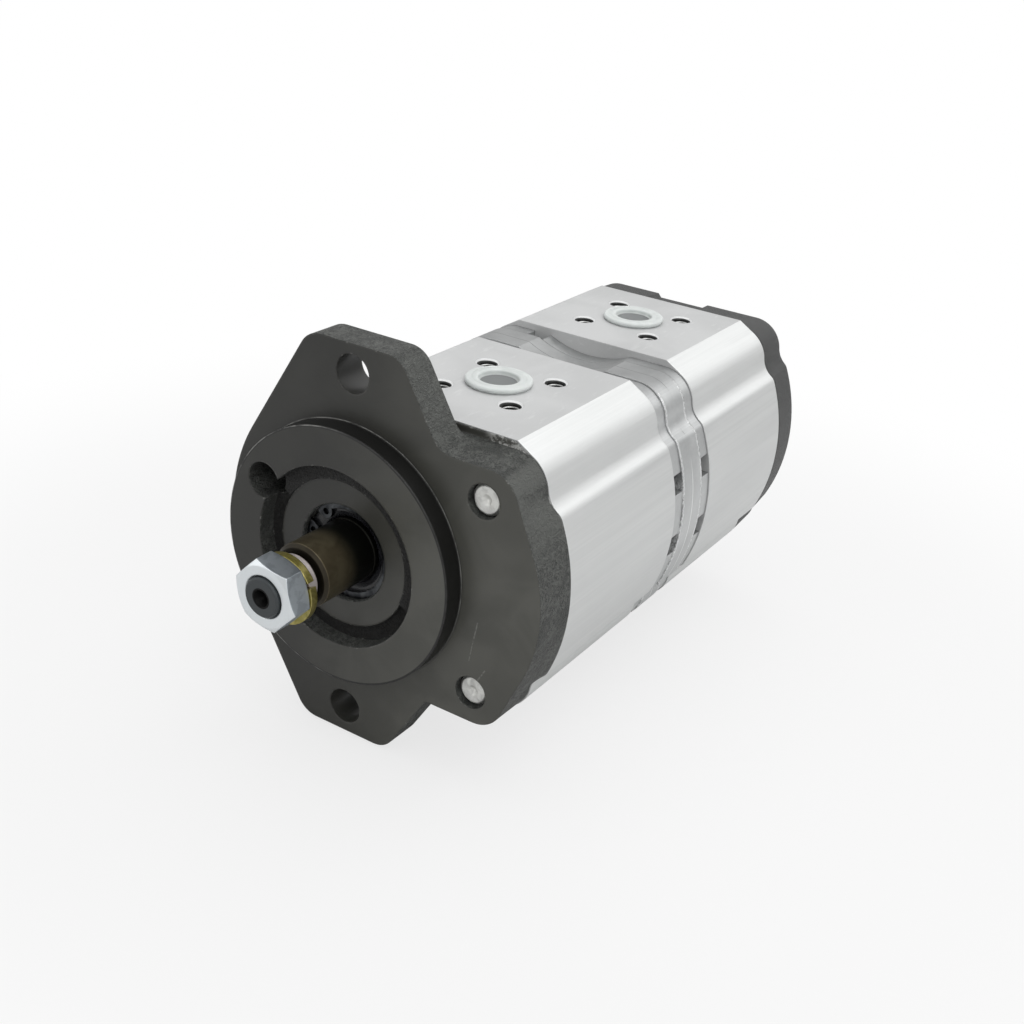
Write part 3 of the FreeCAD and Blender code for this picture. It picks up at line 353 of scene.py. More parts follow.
def machinedSkin(tree, x, z, smudge, pilot, look):
    # turned faces, brightened toward the driven side with painted light, and the pilot boss's wall painted
    # near black as shade
    smooth = mixColour(tree, smudge["Blotch"], look["machined"], look["machinedLight"])
    across = plus(tree, x, times(tree, z, -0.2))
    smooth = shaded(tree, smooth, ramp(tree, across, *look["paintedLightAcross"], *look["paintedLightShares"]))
    # painted shade: the pilot boss's wall is coloured near black
    return mixColour(tree, pilot, smooth, look["wall"])


def castSkin(tree, x, cast, wrinkle, edge, smudge, groove, front, look):
    # smoother dark patches between wrinkles with light crests, and a painted highlight on the block's upper
    # corner
    patches = ramp(tree, noise(tree, objectPlace(tree), look["patchScale"], 4.0, 0.6, 0.7), 0.5, 0.64)
    rough = mixColour(tree, cast["Speckle"], look["cast"], look["castLight"])
    rough = mixColour(tree, times(tree, patches, look["patchShare"]), rough, look["patch"])
    crests = times(tree, ramp(tree, wrinkle, 0.5, 0.6), inverse(tree, patches), look["wrinkleShare"])
    rough = mixColour(tree, crests, rough, look["castLight"])
    rough = mixColour(tree, times(tree, smudge["Blotch"], 0.12), rough, look["castLight"])
    # painted shade darkens the groove and the blind hole, fully on their floors and partly on their walls,
    # which keep the cast skin
    shadedWell = mixColour(tree, cast["Speckle"], look["shadedWell"], look["shadedWellLight"])
    rough = mixColour(tree, times(tree, groove, ramp(tree, front, 0.0, 1.0, 0.45, 1.0)), rough, shadedWell)
    # painted highlight where the surface faces up and toward the driven side, stronger further that way
    cornerHighlight = ramp(tree, vectorMath(tree, "DOT_PRODUCT", edge["Normal"], look["highlightFacing"]), 0.9, 1.0)
    share = ramp(tree, x, *look["highlightAcross"], *look["highlightShares"])
    return mixColour(tree, times(tree, cornerHighlight, share), rough, look["castLight"])


def chippedRim(tree, x, y, z, look):
    # the thin rim behind the block is chipped to bare metal at its outer ends and on the shoulder
    outer = ramp(tree, unsigned(tree, minus(tree, x, portX)), *look["rimOuter"])
    top = times(tree, ramp(tree, unsigned(tree, z), *look["rimHeight"]), ramp(tree, y, *look["rimDepth"]))
    top = times(tree, top, outer, ramp(tree, noise(tree, objectPlace(tree), 520.0, 4.0, 0.7), 0.42, 0.56))
    shoulder = times(tree, ramp(tree, y, *look["shoulderDepth"]), ramp(tree, x, *look["shoulderAcross"]),
                     ramp(tree, z, *look["shoulderHeight"]))
    shoulder = times(tree, shoulder, ramp(tree, noise(tree, objectPlace(tree), 300.0, 3.0), 0.5, 0.62))
    return largest(tree, top, shoulder)


def frontWear(tree, x, y, z, radius, edge, front, look):
    # bare metal on edges, at the boss's foot and in the scratches, and a pale broken line along the boss's
    # front edge on its left
    boss = look["bossRadius"]
    rim = times(tree, band(tree, radius, boss - 0.25, boss + 0.1, 0.1),
                band(tree, y, *look["bossFront"], 0.1), ramp(tree, x, 8.0, -12.0))
    foot = times(tree, band(tree, radius, boss + 0.06, boss + 0.2, 0.12), front,
                 ramp(tree, z, -20.0, 10.0), 0.8)
    patchy = ramp(tree, noise(tree, objectPlace(tree), 160.0, 4.0, 0.7), 0.36, 0.6)
    worn = times(tree, plus(tree, rim, foot), patchy)
    offBoss = inverse(tree, band(tree, radius, boss - 1.0, boss + 0.4, 0.3))
    wear = largest(tree, times(tree, edge["Edge"], 0.1), times(tree, edge["Chips"], offBoss), worn)
    for start, stop, width in look["scratches"]:
        mark = useGroup(tree, scratchGroup, Start=start, Stop=stop, Width=width)["Mark"]
        wear = largest(tree, wear, times(tree, mark, front, 0.6))
    return wear


def makeFrontIron(look):
    # black flange: faces square to the shaft are machined, the rest keeps its cast skin
    material, tree, shader = startMaterial("blackIron")
    x, y, z = splitPlace(tree)
    edge = useGroup(tree, edgeGroup, Radius=0.0009, Breakup=700.0)
    cast = useGroup(tree, castGroup, Scale=look["castScale"])
    smudge = useGroup(tree, smudgeGroup, Scale=45.0)
    wrinkle = noise(tree, objectPlace(tree, (1, 0.6, 1)), look["wrinkleScale"], 3.0, 0.65, 1.2)
    radius = distanceFrom(tree, x, z)
    boss = look["bossRadius"]
    front = ramp(tree, facing(tree, (0, -1, 0)), 0.9, 0.97)
    ring = band(tree, radius, *look["grooveRadii"], 0.05)
    ring = times(tree, ring, band(tree, y, *look["grooveDepths"], 0.1))
    blind = times(tree, within(tree, x, z, look["blindHole"]), ramp(tree, y, *look["blindHoleTop"]))
    groove = largest(tree, ring, blind)
    pilot = times(tree, band(tree, radius, boss - 0.5, boss + 0.5, 0.2), ramp(tree, y, 0.1, -0.1))
    bored = times(tree, within(tree, x, unsigned(tree, z), look["mountHole"]), inverse(tree, front))
    machined = largest(tree, times(tree, front, inverse(tree, groove)), pilot, bored)
    wear = frontWear(tree, x, y, z, radius, edge, front, look)
    colour = mixColour(tree, machined, castSkin(tree, x, cast, wrinkle, edge, smudge, groove, front, look),
                       machinedSkin(tree, x, z, smudge, pilot, look))
    colour = mixColour(tree, times(tree, wear, look["bareShare"]), colour, look["bare"])
    chipped = times(tree, chippedRim(tree, x, y, z, look), look["chipShare"])
    feed(tree, shader["Base Color"], mixColour(tree, chipped, colour, look["chip"]))
    roughness = ramp(tree, machined, 0.0, 1.0, look["castRoughness"], look["machinedRoughness"])
    feed(tree, shader["Roughness"], plus(tree, roughness, times(tree, smudge["Marks"], -0.05)))
    feed(tree, shader["Metallic"], times(tree, wear, 0.5))
    rings = noise(tree, combine(tree, radius, 0.0, 0.0), 9.0, 1.0)
    grain = plus(tree, times(tree, cast["Height"], 0.8), times(tree, wrinkle, 0.9))
    height = plus(tree, times(tree, grain, inverse(tree, machined)), times(tree, rings, machined, 0.006))
    feed(tree, shader["Normal"], bump(tree, height, 1.0, look["bumpDepth"], edge["Normal"]))
    return material


bodyMetal = {
    "side": (0.68, 0.69, 0.685), "sideLight": (0.74, 0.75, 0.745), "sideDull": (0.63, 0.64, 0.64),
    "sideRoughness": (0.44, 0.52), "sideMetallic": 0.85, "lineScale": 900.0,
    "top": (0.485, 0.49, 0.49), "topLight": (0.54, 0.545, 0.545), "topRoughness": 0.6, "topMetallic": 0.5,
}


def makeBodyMetal(look):
    # extruded sides with die lines; the port faces and ends are milled and matte
    material, tree, shader = startMaterial("extrudedAluminium")
    streak = useGroup(tree, streakGroup, Scale=look["lineScale"])
    smudge = useGroup(tree, smudgeGroup, Scale=30.0)
    edge = useGroup(tree, edgeGroup, Radius=0.0005, Breakup=200.0)
    up = ramp(tree, unsigned(tree, facing(tree, (0, 0, 1))), 0.985, 0.998)
    ends = ramp(tree, unsigned(tree, facing(tree, (0, 1, 0))), 0.9, 0.99)
    milled = largest(tree, up, ends)
    extruded = inverse(tree, milled)
    side = mixColour(tree, ramp(tree, streak["Fine"], 0.3, 0.7), look["side"], look["sideLight"])
    side = mixColour(tree, times(tree, ramp(tree, streak["Broad"], 0.4, 0.65), 0.35), side, look["sideDull"])
    side = mixColour(tree, times(tree, smudge["Blotch"], 0.3), side, look["sideLight"])
    top = mixColour(tree, smudge["Blotch"], look["top"], look["topLight"])
    top = mixColour(tree, times(tree, smudge["Marks"], 0.25), top, look["sideLight"])
    feed(tree, shader["Base Color"], mixColour(tree, milled, side, top))
    feed(tree, shader["Metallic"], ramp(tree, milled, 0.0, 1.0, look["sideMetallic"], look["topMetallic"]))
    sideRough = times(tree, ramp(tree, streak["Fine"], 0.3, 0.7, *look["sideRoughness"]), extruded)
    feed(tree, shader["Roughness"], plus(tree, sideRough, times(tree, milled, look["topRoughness"])))
    grain = noise(tree, objectPlace(tree), 5200.0, 2.0)
    height = plus(tree, times(tree, streak["Fine"], extruded, 0.22), times(tree, grain, milled, 0.2))
    feed(tree, shader["Normal"], bump(tree, height, 0.3, 0.2, edge["Normal"]))
    return material


middleMetal = {
    "dark": (0.5, 0.51, 0.51), "light": (0.64, 0.65, 0.65), "topShade": 0.72, "roughness": 0.34,
    # the slot colour is painted shade on the floors of the side slots
    "groove": (0.16, 0.163, 0.163), "flash": (0.9, 0.91, 0.91), "slot": (0.06, 0.062, 0.062),
    "ends": (78.2, 102.8), "partLine": 90.6, "joints": (83.9, 97.1), "flashReach": 0.9, "wander": 0.8,
    "slotHeights": ((9.9, 16.4), (-11.6, -4.4)), "shadedSlotFloor": (46.8, 46.2),
}


def makeMiddleMetal(name, look):
    # die-cast plates and housing: satin skin, a line at the mould's parting, trimmed flash at the joints
    material, tree, shader = startMaterial(name)
    x, y, z = splitPlace(tree)
    smudge = useGroup(tree, smudgeGroup, Scale=50.0)
    cast = useGroup(tree, castGroup, Scale=350.0)
    edge = useGroup(tree, edgeGroup, Radius=0.0005, Breakup=500.0)
    blotches = plus(tree, times(tree, smudge["Blotch"], 0.6), times(tree, cast["Speckle"], 0.3))
    colour = mixColour(tree, blotches, look["dark"], look["light"])
    # painted shade: faces that look upward are darkened
    up = unsigned(tree, facing(tree, (0, 0, 1)))
    colour = shaded(tree, colour, ramp(tree, up, 0.6, 0.97, 1.0, look["topShade"]))
    side = ramp(tree, unsigned(tree, facing(tree, (1, 0, 0))), 0.5, 0.75)
    step = ramp(tree, unsigned(tree, facing(tree, (0, 1, 0))), 0.5, 0.8)
    flush = inverse(tree, step)
    part = look["partLine"]
    dark = times(tree, line(tree, y, part, 0.06, 0.12), inverse(tree, side))
    flash = times(tree, line(tree, y, part, 0.1, 0.2), side, ramp(tree, z, 20.0, 10.0))
    # the flash is ragged, reaches from each joint toward the mould's parting, and lies low on the steps
    wander = times(tree, minus(tree, noise(tree, objectPlace(tree), 180.0, 3.0), 0.5), look["wander"])
    ragged = ramp(tree, noise(tree, objectPlace(tree, (1, 2.5, 1)), 900.0, 4.0, 0.7), 0.44, 0.54)
    low = ramp(tree, z, 18.0, 10.0)
    for joint in look["joints"]:
        near = line(tree, y, joint, 0.08, 0.14)
        dark = largest(tree, dark, times(tree, near, flush, 0.8), times(tree, near, step, 0.25))
        reach = sorted((joint, joint + math.copysign(look["flashReach"], part - joint)))
        crumbs = times(tree, band(tree, plus(tree, y, wander), *reach, 0.3), side, ragged, 0.8)
        flash = largest(tree, flash, crumbs, times(tree, near, step, ragged, low, 0.8))
    for end in look["ends"]:
        dark = largest(tree, dark, times(tree, line(tree, y, end, 0.15, 0.2), flush, 0.7))
    # painted shade: the floors of the side slots are darkened
    inSlots = plus(tree, *[band(tree, z, *heights, 0.1) for heights in look["slotHeights"]])
    across = unsigned(tree, minus(tree, x, portX))
    shadedSlotFloor = times(tree, ramp(tree, across, *look["shadedSlotFloor"]), inSlots, side)
    for mask, tone in ((dark, "groove"), (flash, "flash"), (shadedSlotFloor, "slot")):
        colour = mixColour(tree, mask, colour, look[tone])
    feed(tree, shader["Base Color"], colour)
    feed(tree, shader["Metallic"], 0.85)
    feed(tree, shader["Roughness"], plus(tree, look["roughness"], times(tree, cast["Speckle"], 0.08)))
    height = plus(tree, times(tree, cast["Height"], 0.35), times(tree, dark, -0.4), times(tree, flash, 0.8))
    feed(tree, shader["Normal"], bump(tree, height, 0.5, 0.3, edge["Normal"]))
    return material


# the edge colour is a painted highlight on the rounded edges
rearIron = {"dark": (0.016, 0.017, 0.017), "light": (0.05, 0.051, 0.05), "edge": (0.12, 0.12, 0.118),
            "bare": (0.3, 0.3, 0.29), "roughness": 0.46, "scale": 1200.0, "round": 2.8}


def makeRearIron(look):
    # cast skin all over, with a painted highlight lightening the broad rounded edges
    material, tree, shader = startMaterial("rearIron")
    cast = useGroup(tree, castGroup, Scale=look["scale"])
    edge = useGroup(tree, edgeGroup, Radius=look["round"] * mm, Breakup=700.0)
    smudge = useGroup(tree, smudgeGroup, Scale=60.0)
    colour = mixColour(tree, cast["Speckle"], look["dark"], look["light"])
    colour = mixColour(tree, times(tree, smudge["Blotch"], 0.3), colour, look["light"])
    # painted highlight: the rounded edges are coloured lighter
    colour = mixColour(tree, times(tree, edge["Edge"], 0.25), colour, look["edge"])
    feed(tree, shader["Base Color"], mixColour(tree, times(tree, edge["Chips"], 0.12), colour, look["bare"]))
    feed(tree, shader["Roughness"], look["roughness"])
    feed(tree, shader["Normal"], bump(tree, cast["Height"], 0.8, 0.5, edge["Normal"]))
    return material


zincNut = {"face": (0.8, 0.84, 0.86), "faceRoughness": 0.34, "worn": (0.8, 0.84, 0.87),
           "flats": (0.5, 0.55, 0.59), "flatsDark": (0.4, 0.44, 0.48), "flatsRoughness": 0.42,
           "upwardShade": 0.44}


def makeNutZinc(look):
    # bluish zinc: clean turned face, flats dulled in patches and darkened with painted shade where they look
    # upward
    material, tree, shader = startMaterial("zincNut")
    x, _, z = splitPlace(tree)
    smudge = useGroup(tree, smudgeGroup, Scale=330.0)
    edge = useGroup(tree, edgeGroup, Radius=0.0005, Breakup=500.0)
    face = ramp(tree, unsigned(tree, facing(tree, (0, 1, 0))), 0.2, 0.45)
    patches = ramp(tree, noise(tree, objectPlace(tree), 260.0, 5.0, 0.6, 0.5), 0.46, 0.58)
    flats = mixColour(tree, patches, look["flats"], look["flatsDark"])
    flats = shaded(tree, flats, ramp(tree, facing(tree, (0, 0, 1)), 0.3, 0.85, 1.0, look["upwardShade"]))
    colour = mixColour(tree, face, flats, look["face"])
    feed(tree, shader["Base Color"], mixColour(tree, times(tree, edge["Edge"], 0.4), colour, look["worn"]))
    feed(tree, shader["Metallic"], 0.9)
    feed(tree, shader["Roughness"], ramp(tree, face, 0.0, 1.0, look["flatsRoughness"], look["faceRoughness"]))
    rings = noise(tree, combine(tree, distanceFrom(tree, x, z), 0.0, 0.0), 5.2, 2.0)
    height = plus(tree, times(tree, rings, face, 0.5), times(tree, smudge["Marks"], 0.2))
    feed(tree, shader["Normal"], bump(tree, height, 0.2, 0.2, edge["Normal"]))
    return material


boltZinc = {"face": (0.78, 0.785, 0.755), "dull": (0.54, 0.54, 0.52), "worn": (0.75, 0.75, 0.73),
            "roughness": 0.42}


def makeBoltZinc(look):
    # pale plated bolts, dulled in blotches and slightly uneven
    material, tree, shader = startMaterial("boltZinc")
    smudge = useGroup(tree, smudgeGroup, Scale=420.0)
    edge = useGroup(tree, edgeGroup, Radius=0.0006, Breakup=500.0)
    colour = mixColour(tree, smudge["Blotch"], look["face"], look["dull"])
    feed(tree, shader["Base Color"], mixColour(tree, times(tree, edge["Edge"], 0.6), colour, look["worn"]))
    feed(tree, shader["Metallic"], 0.8)
    feed(tree, shader["Roughness"], look["roughness"])
    uneven = noise(tree, objectPlace(tree), 1900.0, 4.0, 0.6)
    feed(tree, shader["Normal"], bump(tree, uneven, 0.35, 0.2, edge["Normal"]))
    return material


milkyPlastic = {"rim": (0.49, 0.515, 0.505), "rimLight": (0.55, 0.575, 0.565), "floor": (0.16, 0.168, 0.168),
                "roughness": 0.55, "floorRadius": 5.9, "subsurface": 0.8, "subsurfaceReach": 3.0}


def makePlastic(look):
    # milky plastic, painted grey in the sunk middle as the shade of the dark bore showing through
    material, tree, shader = startMaterial("milkyPlastic")
    x, y, _ = splitPlace(tree)
    smudge = useGroup(tree, smudgeGroup, Scale=120.0)
    boreShadeSpots = []
    # painted shade: the sunk middle of each plug is coloured grey
    for end in ("front", "rear"):
        radius = distanceFrom(tree, x, y, (portX, ports[end, "outlet"]["y"]))
        boreShadeSpots.append(ramp(tree, radius, look["floorRadius"], look["floorRadius"] - 0.5))
    floor = largest(tree, *boreShadeSpots)
    rim = mixColour(tree, smudge["Blotch"], look["rim"], look["rimLight"])
    feed(tree, shader["Base Color"], mixColour(tree, floor, rim, look["floor"]))
    feed(tree, shader["Roughness"], look["roughness"])
    feed(tree, shader["Specular IOR Level"], 0.35)
    feed(tree, shader["Subsurface Weight"], look["subsurface"])
    feed(tree, shader["Subsurface Radius"], (1.0, 1.0, 1.0))
    feed(tree, shader["Subsurface Scale"], look["subsurfaceReach"] * mm)
    feed(tree, shader["Normal"], bump(tree, noise(tree, objectPlace(tree), 900.0, 2.0), 0.1, 0.2))
    return material


sealRubber = {"dark": (0.01, 0.01, 0.012), "light": (0.02, 0.021, 0.024), "roughness": 0.26}


def makeRubber(look):
    # black rubber, slightly glossy with oil
    material, tree, shader = startMaterial("sealRubber")
    smudge = useGroup(tree, smudgeGroup, Scale=200.0)
    feed(tree, shader["Base Color"], mixColour(tree, smudge["Blotch"], look["dark"], look["light"]))
    feed(tree, shader["Roughness"], look["roughness"])
    feed(tree, shader["Normal"], bump(tree, noise(tree, objectPlace(tree), 2500.0, 2.0), 0.15, 0.2))
    return material


filmedShaft = {
    "film": (0.074, 0.06, 0.035), "filmLight": (0.115, 0.098, 0.06), "sealEnd": (0.007, 0.007, 0.005),
    "sealFade": (-13.5, -6.5), "neck": (0.66, 0.6, 0.58), "neckStart": (-22.5, -22.7),
    # the undercut colour is painted shade in the undercut and on the chamfer
    "undercutShade": (0.012, 0.01, 0.008), "cut": (-22.5, -21.3), "chamfer": (-21.3, -20.3), "chamferShadeShare": 0.75,
    "tip": (0.036, 0.042, 0.045), "tipStart": (-28.5, -29.0), "centre": (0.004, 0.004, 0.004),
    "centreRadius": (3.2, 2.9), "bare": (0.25, 0.23, 0.18),
}


def makeShaftSteel(look):
    # brown preservative film on the shaft's seat, darker toward the seal, bare neck, blackened tip; painted
    # shade blackens the centre hole, the undercut and the chamfer before it
    material, tree, shader = startMaterial("filmedShaft")
    x, y, z = splitPlace(tree)
    smudge = useGroup(tree, smudgeGroup, Scale=160.0)
    edge = useGroup(tree, edgeGroup, Radius=0.0004, Breakup=500.0)
    tip = ramp(tree, y, *look["tipStart"])
    # painted shade: the centre hole is coloured near black
    centre = times(tree, ramp(tree, distanceFrom(tree, x, z), *look["centreRadius"]), tip)
    colour = mixColour(tree, smudge["Blotch"], look["film"], look["filmLight"])
    for mask, tone in (
        # the film darkens to near black toward the seal
        (ramp(tree, y, *look["sealFade"]), "sealEnd"),
        (ramp(tree, y, *look["neckStart"]), "neck"),
        (tip, "tip"),
        (centre, "centre"),
        # painted shade on the chamfer and in the undercut
        (times(tree, band(tree, y, *look["chamfer"], 0.1), look["chamferShadeShare"]), "undercutShade"),
        (band(tree, y, *look["cut"], 0.2), "undercutShade"),
        (times(tree, edge["Edge"], 0.04, inverse(tree, tip)), "bare"),
    ):
        colour = mixColour(tree, mask, colour, look[tone])
    feed(tree, shader["Base Color"], colour)
    feed(tree, shader["Specular IOR Level"], ramp(tree, centre, 0.0, 1.0, 0.5, 0.1))
    feed(tree, shader["Metallic"], ramp(tree, tip, 0.0, 1.0, 0.75, 0.2))
    feed(tree, shader["Roughness"], ramp(tree, smudge["Marks"], 0.0, 1.0, 0.4, 0.32))
    turned = noise(tree, combine(tree, y, 0.0, 0.0), 7.0, 2.0)
    feed(tree, shader["Normal"], bump(tree, turned, 0.25, 0.2, edge["Normal"]))
    return material


threadMetal = {"chamfer": (0.72, 0.73, 0.73), "crest": (0.66, 0.665, 0.655), "root": (0.03, 0.031, 0.03),
               "deepShade": (0.02, 0.02, 0.02), "chamferEnd": (0.4, 0.6), "darkens": (2.5, 6.5)}


def makeThreadMetal(look):
    # bright countersink, partly a painted highlight, then light crests over roots darkened as painted shade,
    # with painted shade deepening the deeper the hole goes
    material, tree, shader = startMaterial("threadMetal")
    depth = minus(tree, portFace, unsigned(tree, splitPlace(tree)[2]))
    inside = ramp(tree, depth, *look["chamferEnd"])
    crest = addNode(tree, "ShaderNodeAttribute", attribute_name="crest").outputs["Fac"]
    # painted shade: the thread roots are dark
    turns = mixColour(tree, ramp(tree, crest, 0.3, 0.7), look["root"], look["crest"])
    colour = mixColour(tree, inside, look["chamfer"], turns)
    # painted shade: the hole darkens with depth
    colour = mixColour(tree, ramp(tree, depth, *look["darkens"], 0.0, 0.9), colour, look["deepShade"])
    feed(tree, shader["Base Color"], colour)
    feed(tree, shader["Metallic"], ramp(tree, inside, 0.0, 1.0, 0.4, 0.9))
    grain = noise(tree, objectPlace(tree), 2500.0, 2.0)
    feed(tree, shader["Roughness"], ramp(tree, grain, 0.3, 0.7, 0.34, 0.48))
    return material


# metals without marks of their own: the slot with its darker and lighter tone and its roughness
plainMetals = {
    "ring_steel": ((0.03, 0.032, 0.035), (0.09, 0.095, 0.1), 0.3),
    "block_aluminium": ((0.5, 0.5, 0.5), (0.62, 0.62, 0.62), 0.4),
    "bush_bronze": ((0.35, 0.24, 0.1), (0.5, 0.36, 0.16), 0.4),
    "washer_zinc": ((0.28, 0.245, 0.07), (0.5, 0.435, 0.165), 0.36),
    "gear_steel": ((0.4, 0.4, 0.41), (0.55, 0.55, 0.56), 0.34),
}


def makePlainMetal(name, dark, light, roughness):
    # two tones in soft blotches, a fine grain and paler worn edges
    material, tree, shader = startMaterial(name)
    smudge = useGroup(tree, smudgeGroup, Scale=300.0)
    edge = useGroup(tree, edgeGroup, Radius=0.0004, Breakup=600.0)
    worn = tuple(min(part * 1.25 + 0.05, 0.95) for part in light)
    colour = mixColour(tree, smudge["Blotch"], dark, light)
    feed(tree, shader["Base Color"], mixColour(tree, times(tree, edge["Edge"], 0.6), colour, worn))
    feed(tree, shader["Roughness"], ramp(tree, smudge["Marks"], 0.0, 1.0, roughness, roughness * 0.8))
    feed(tree, shader["Metallic"], 1.0)
    grain = noise(tree, objectPlace(tree), 4000.0, 2.0)
    feed(tree, shader["Normal"], bump(tree, grain, 0.2, 0.2, edge["Normal"]))
    return material


materials = {slot: makePlainMetal(slot, *look) for slot, look in plainMetals.items()}
materials.update({
    "cast_black": makeFrontIron(frontIron),
    "extruded_aluminium": makeBodyMetal(bodyMetal),
    "end_plate_cast": makeMiddleMetal("plateMetal", middleMetal),
    "housing_cast": makeMiddleMetal("couplingMetal", middleMetal),
    "cast_rear": makeRearIron(rearIron),
    "seal_rubber": makeRubber(sealRubber),
    "plug_plastic": makePlastic(milkyPlastic),
    "bolt_steel": makeBoltZinc(boltZinc),
    "shaft_steel": makeShaftSteel(filmedShaft),
    "nut_zinc": makeNutZinc(zincNut),
})
threadLook = makeThreadMetal(threadMetal)
slotOf = {entry["node"]: entry["material_slot"] for entry in frame["record"]["subparts"]}
for name, thing in frame["nodes"].items():
    thing.data.materials.clear()
    thing.data.materials.append(materials[slotOf[name]])
print("materials are on the CAD nodes")


def addPiece(name, vertices, faces, material):
    mesh = bpy.data.meshes.new(name)
    mesh.from_pydata((vertices * mm).tolist(), [], faces)
    mesh.shade_smooth()
    mesh.materials.append(material)
    piece = bpy.data.objects.new(name, mesh)
    bpy.context.scene.collection.objects.link(piece)
    return piece


def loopFaces(rows, columns, start=0):
    # quads of a grid that closes on itself both ways
    row, column = np.meshgrid(np.arange(rows), np.arange(columns), indexing="ij")
    nextRow, nextColumn = (row + 1) % rows, (column + 1) % columns
    corners = [(row, column), (row, nextColumn), (nextRow, nextColumn), (nextRow, column)]
    return np.stack([one * columns + other for one, other in corners], -1).reshape(-1, 4) + start


plug = {"rimRadius": 10.3, "rimHeight": 1.85, "sinkRadius": 6.1, "sink": 1.5, "stem": 7.35, "stemDepth": 9.0,
        "wall": 1.4, "inletExtra": 2.5, "rimRound": 0.8, "lipRound": 0.7, "steps": 96}


def arcPoints(centre, radius, start, stop, count):
    turn = np.radians(np.linspace(start, stop, count))
    return np.stack([centre[0] + radius * np.cos(turn), centre[1] + radius * np.sin(turn)], 1)


def plugProfile(extra, look):
    # radius and height of the cup's skin, from the sunk middle over the rounded rim and round the stem
    rim, sink, stem = [look[name] + extra for name in ("rimRadius", "sinkRadius", "stem")]
    height, wall, lowest = look["rimHeight"], look["wall"], -look["stemDepth"]
    sunk, lipRound, rimRound = height - look["sink"], look["lipRound"], look["rimRound"]
    floor = [(0.6, sunk + 0.05), (sink - 1.2, sunk), (sink - 0.3, sunk + 0.1), (sink, sunk + 0.5)]
    lip = arcPoints((sink + lipRound + 0.05, height - lipRound), lipRound, 180, 90, 6)
    dip = [(sink + 1.9, height - 0.03), (rim - 2.2, height - 0.1), (rim - 1.7, height - 0.04)]
    outer = arcPoints((rim - rimRound, height - rimRound - 0.05), rimRound, 90, -30, 7)
    under = [(rim - 0.35, 0.02), (stem + 0.4, 0.02), (stem, -0.4), (stem, lowest + 0.5), (stem - 0.4, lowest),
             (stem - wall, lowest), (stem - wall, -0.9), (stem - wall - 0.3, -0.6), (0.6, -0.6)]
    return np.concatenate([floor, lip, dip, outer, under])


def makePlug(node, port, extra, look):
    # the profile turned about the port's axis, a pole point closing each end
    profile = plugProfile(extra, look)
    count = look["steps"]
    angles = np.linspace(0, 2 * np.pi, count, endpoint=False)
    rings = np.stack([profile[:, :1] * np.cos(angles), port["side"] * profile[:, :1] * np.sin(angles),
                      np.repeat(profile[:, 1:], count, 1)], -1).reshape(-1, 3)
    poles = np.array([[0, 0, profile[0, 1]], [0, 0, profile[-1, 1]]])
    vertices = np.concatenate([rings, poles]) + (port["x"], port["y"], portFace)
    vertices[:, 2] *= port["side"]
    quads = loopFaces(len(profile), count)[:-count, ::-1]
    column = np.arange(count)
    following = (column + 1) % count
    last = (len(profile) - 1) * count
    top = np.stack([column, following, np.full(count, len(rings))], 1)
    bottom = np.stack([last + following, last + column, np.full(count, len(rings) + 1)], 1)
    faces = quads.tolist() + top.tolist() + bottom.tolist()
    piece = addPiece(node + "_cup", vertices, faces, materials["plug_plastic"])
    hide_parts(node)
    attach(piece, "housing")


for (end, kind), port in ports.items():
    makePlug(f"{end}_{kind}_plug", port, plug["inletExtra"] if kind == "inlet" else 0.0, plug)
print("port plugs are in")

thread = {"radius": 2.93, "ridge": 0.4, "pitch": 1.0, "start": 0.85, "fadeIn": 0.5, "depth": 7.0,
          "chamferRadius": 3.76, "wallRadius": 2.985, "rowsPerTurn": 6, "steps": 36}


def makeThreads(name, port, look):
    # each hole: a countersink, then a helix where radius = base - ridge * triangle(depth / pitch - turn),
    # closed behind by a plain wall
    count = look["steps"]
    rows = int(look["depth"] / look["pitch"] * look["rowsPerTurn"])
    depth = np.linspace(look["start"], look["depth"], rows)[:, None]
    angles = np.linspace(0, 2 * np.pi, count, endpoint=False)
    phase = (depth / look["pitch"] - port["side"] * angles / (2 * np.pi)) % 1.0
    crest = (1 - np.abs(2 * phase - 1)) * np.clip((depth - look["start"]) / look["fadeIn"], 0, 1)
    wall, chamfer = look["wallRadius"], look["chamferRadius"]
    plain = np.array([(wall, look["depth"]), (wall, 0.95), (chamfer, 0.15), (chamfer, 0.02),
                      (look["radius"] + 0.05, 0.8)])
    radius = np.concatenate([look["radius"] - look["ridge"] * crest, np.repeat(plain[:, :1], count, 1)])
    level = np.concatenate([np.repeat(depth, count, 1), np.repeat(plain[:, 1:], count, 1)])
    crest = np.concatenate([crest.ravel(), np.zeros(len(plain) * count)])
    ring = np.stack([radius * np.cos(angles), radius * np.sin(angles), -level], -1).reshape(-1, 3)
    reach = port["circle"] / 2 * math.cos(math.pi / 4)
    corners = np.array([(1, 1, 0), (1, -1, 0), (-1, 1, 0), (-1, -1, 0)]) * reach
    corners += (port["x"], port["y"], portFace)
    vertices = (ring + corners[:, None, :]).reshape(-1, 3) * (1, 1, port["side"])
    faces = np.concatenate([loopFaces(len(level), count, hole * len(ring)) for hole in range(len(corners))])
    piece = addPiece(name, vertices, faces[:, ::port["side"]].tolist(), threadLook)
    shares = piece.data.attributes.new("crest", "FLOAT", "POINT").data
    shares.foreach_set("value", np.tile(crest, len(corners)).astype(np.float32))
    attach(piece, "housing")


for (end, kind), port in ports.items():
    makeThreads(f"{end}{kind.capitalize()}Threads", port, thread)
print("threads are in the port screw holes")

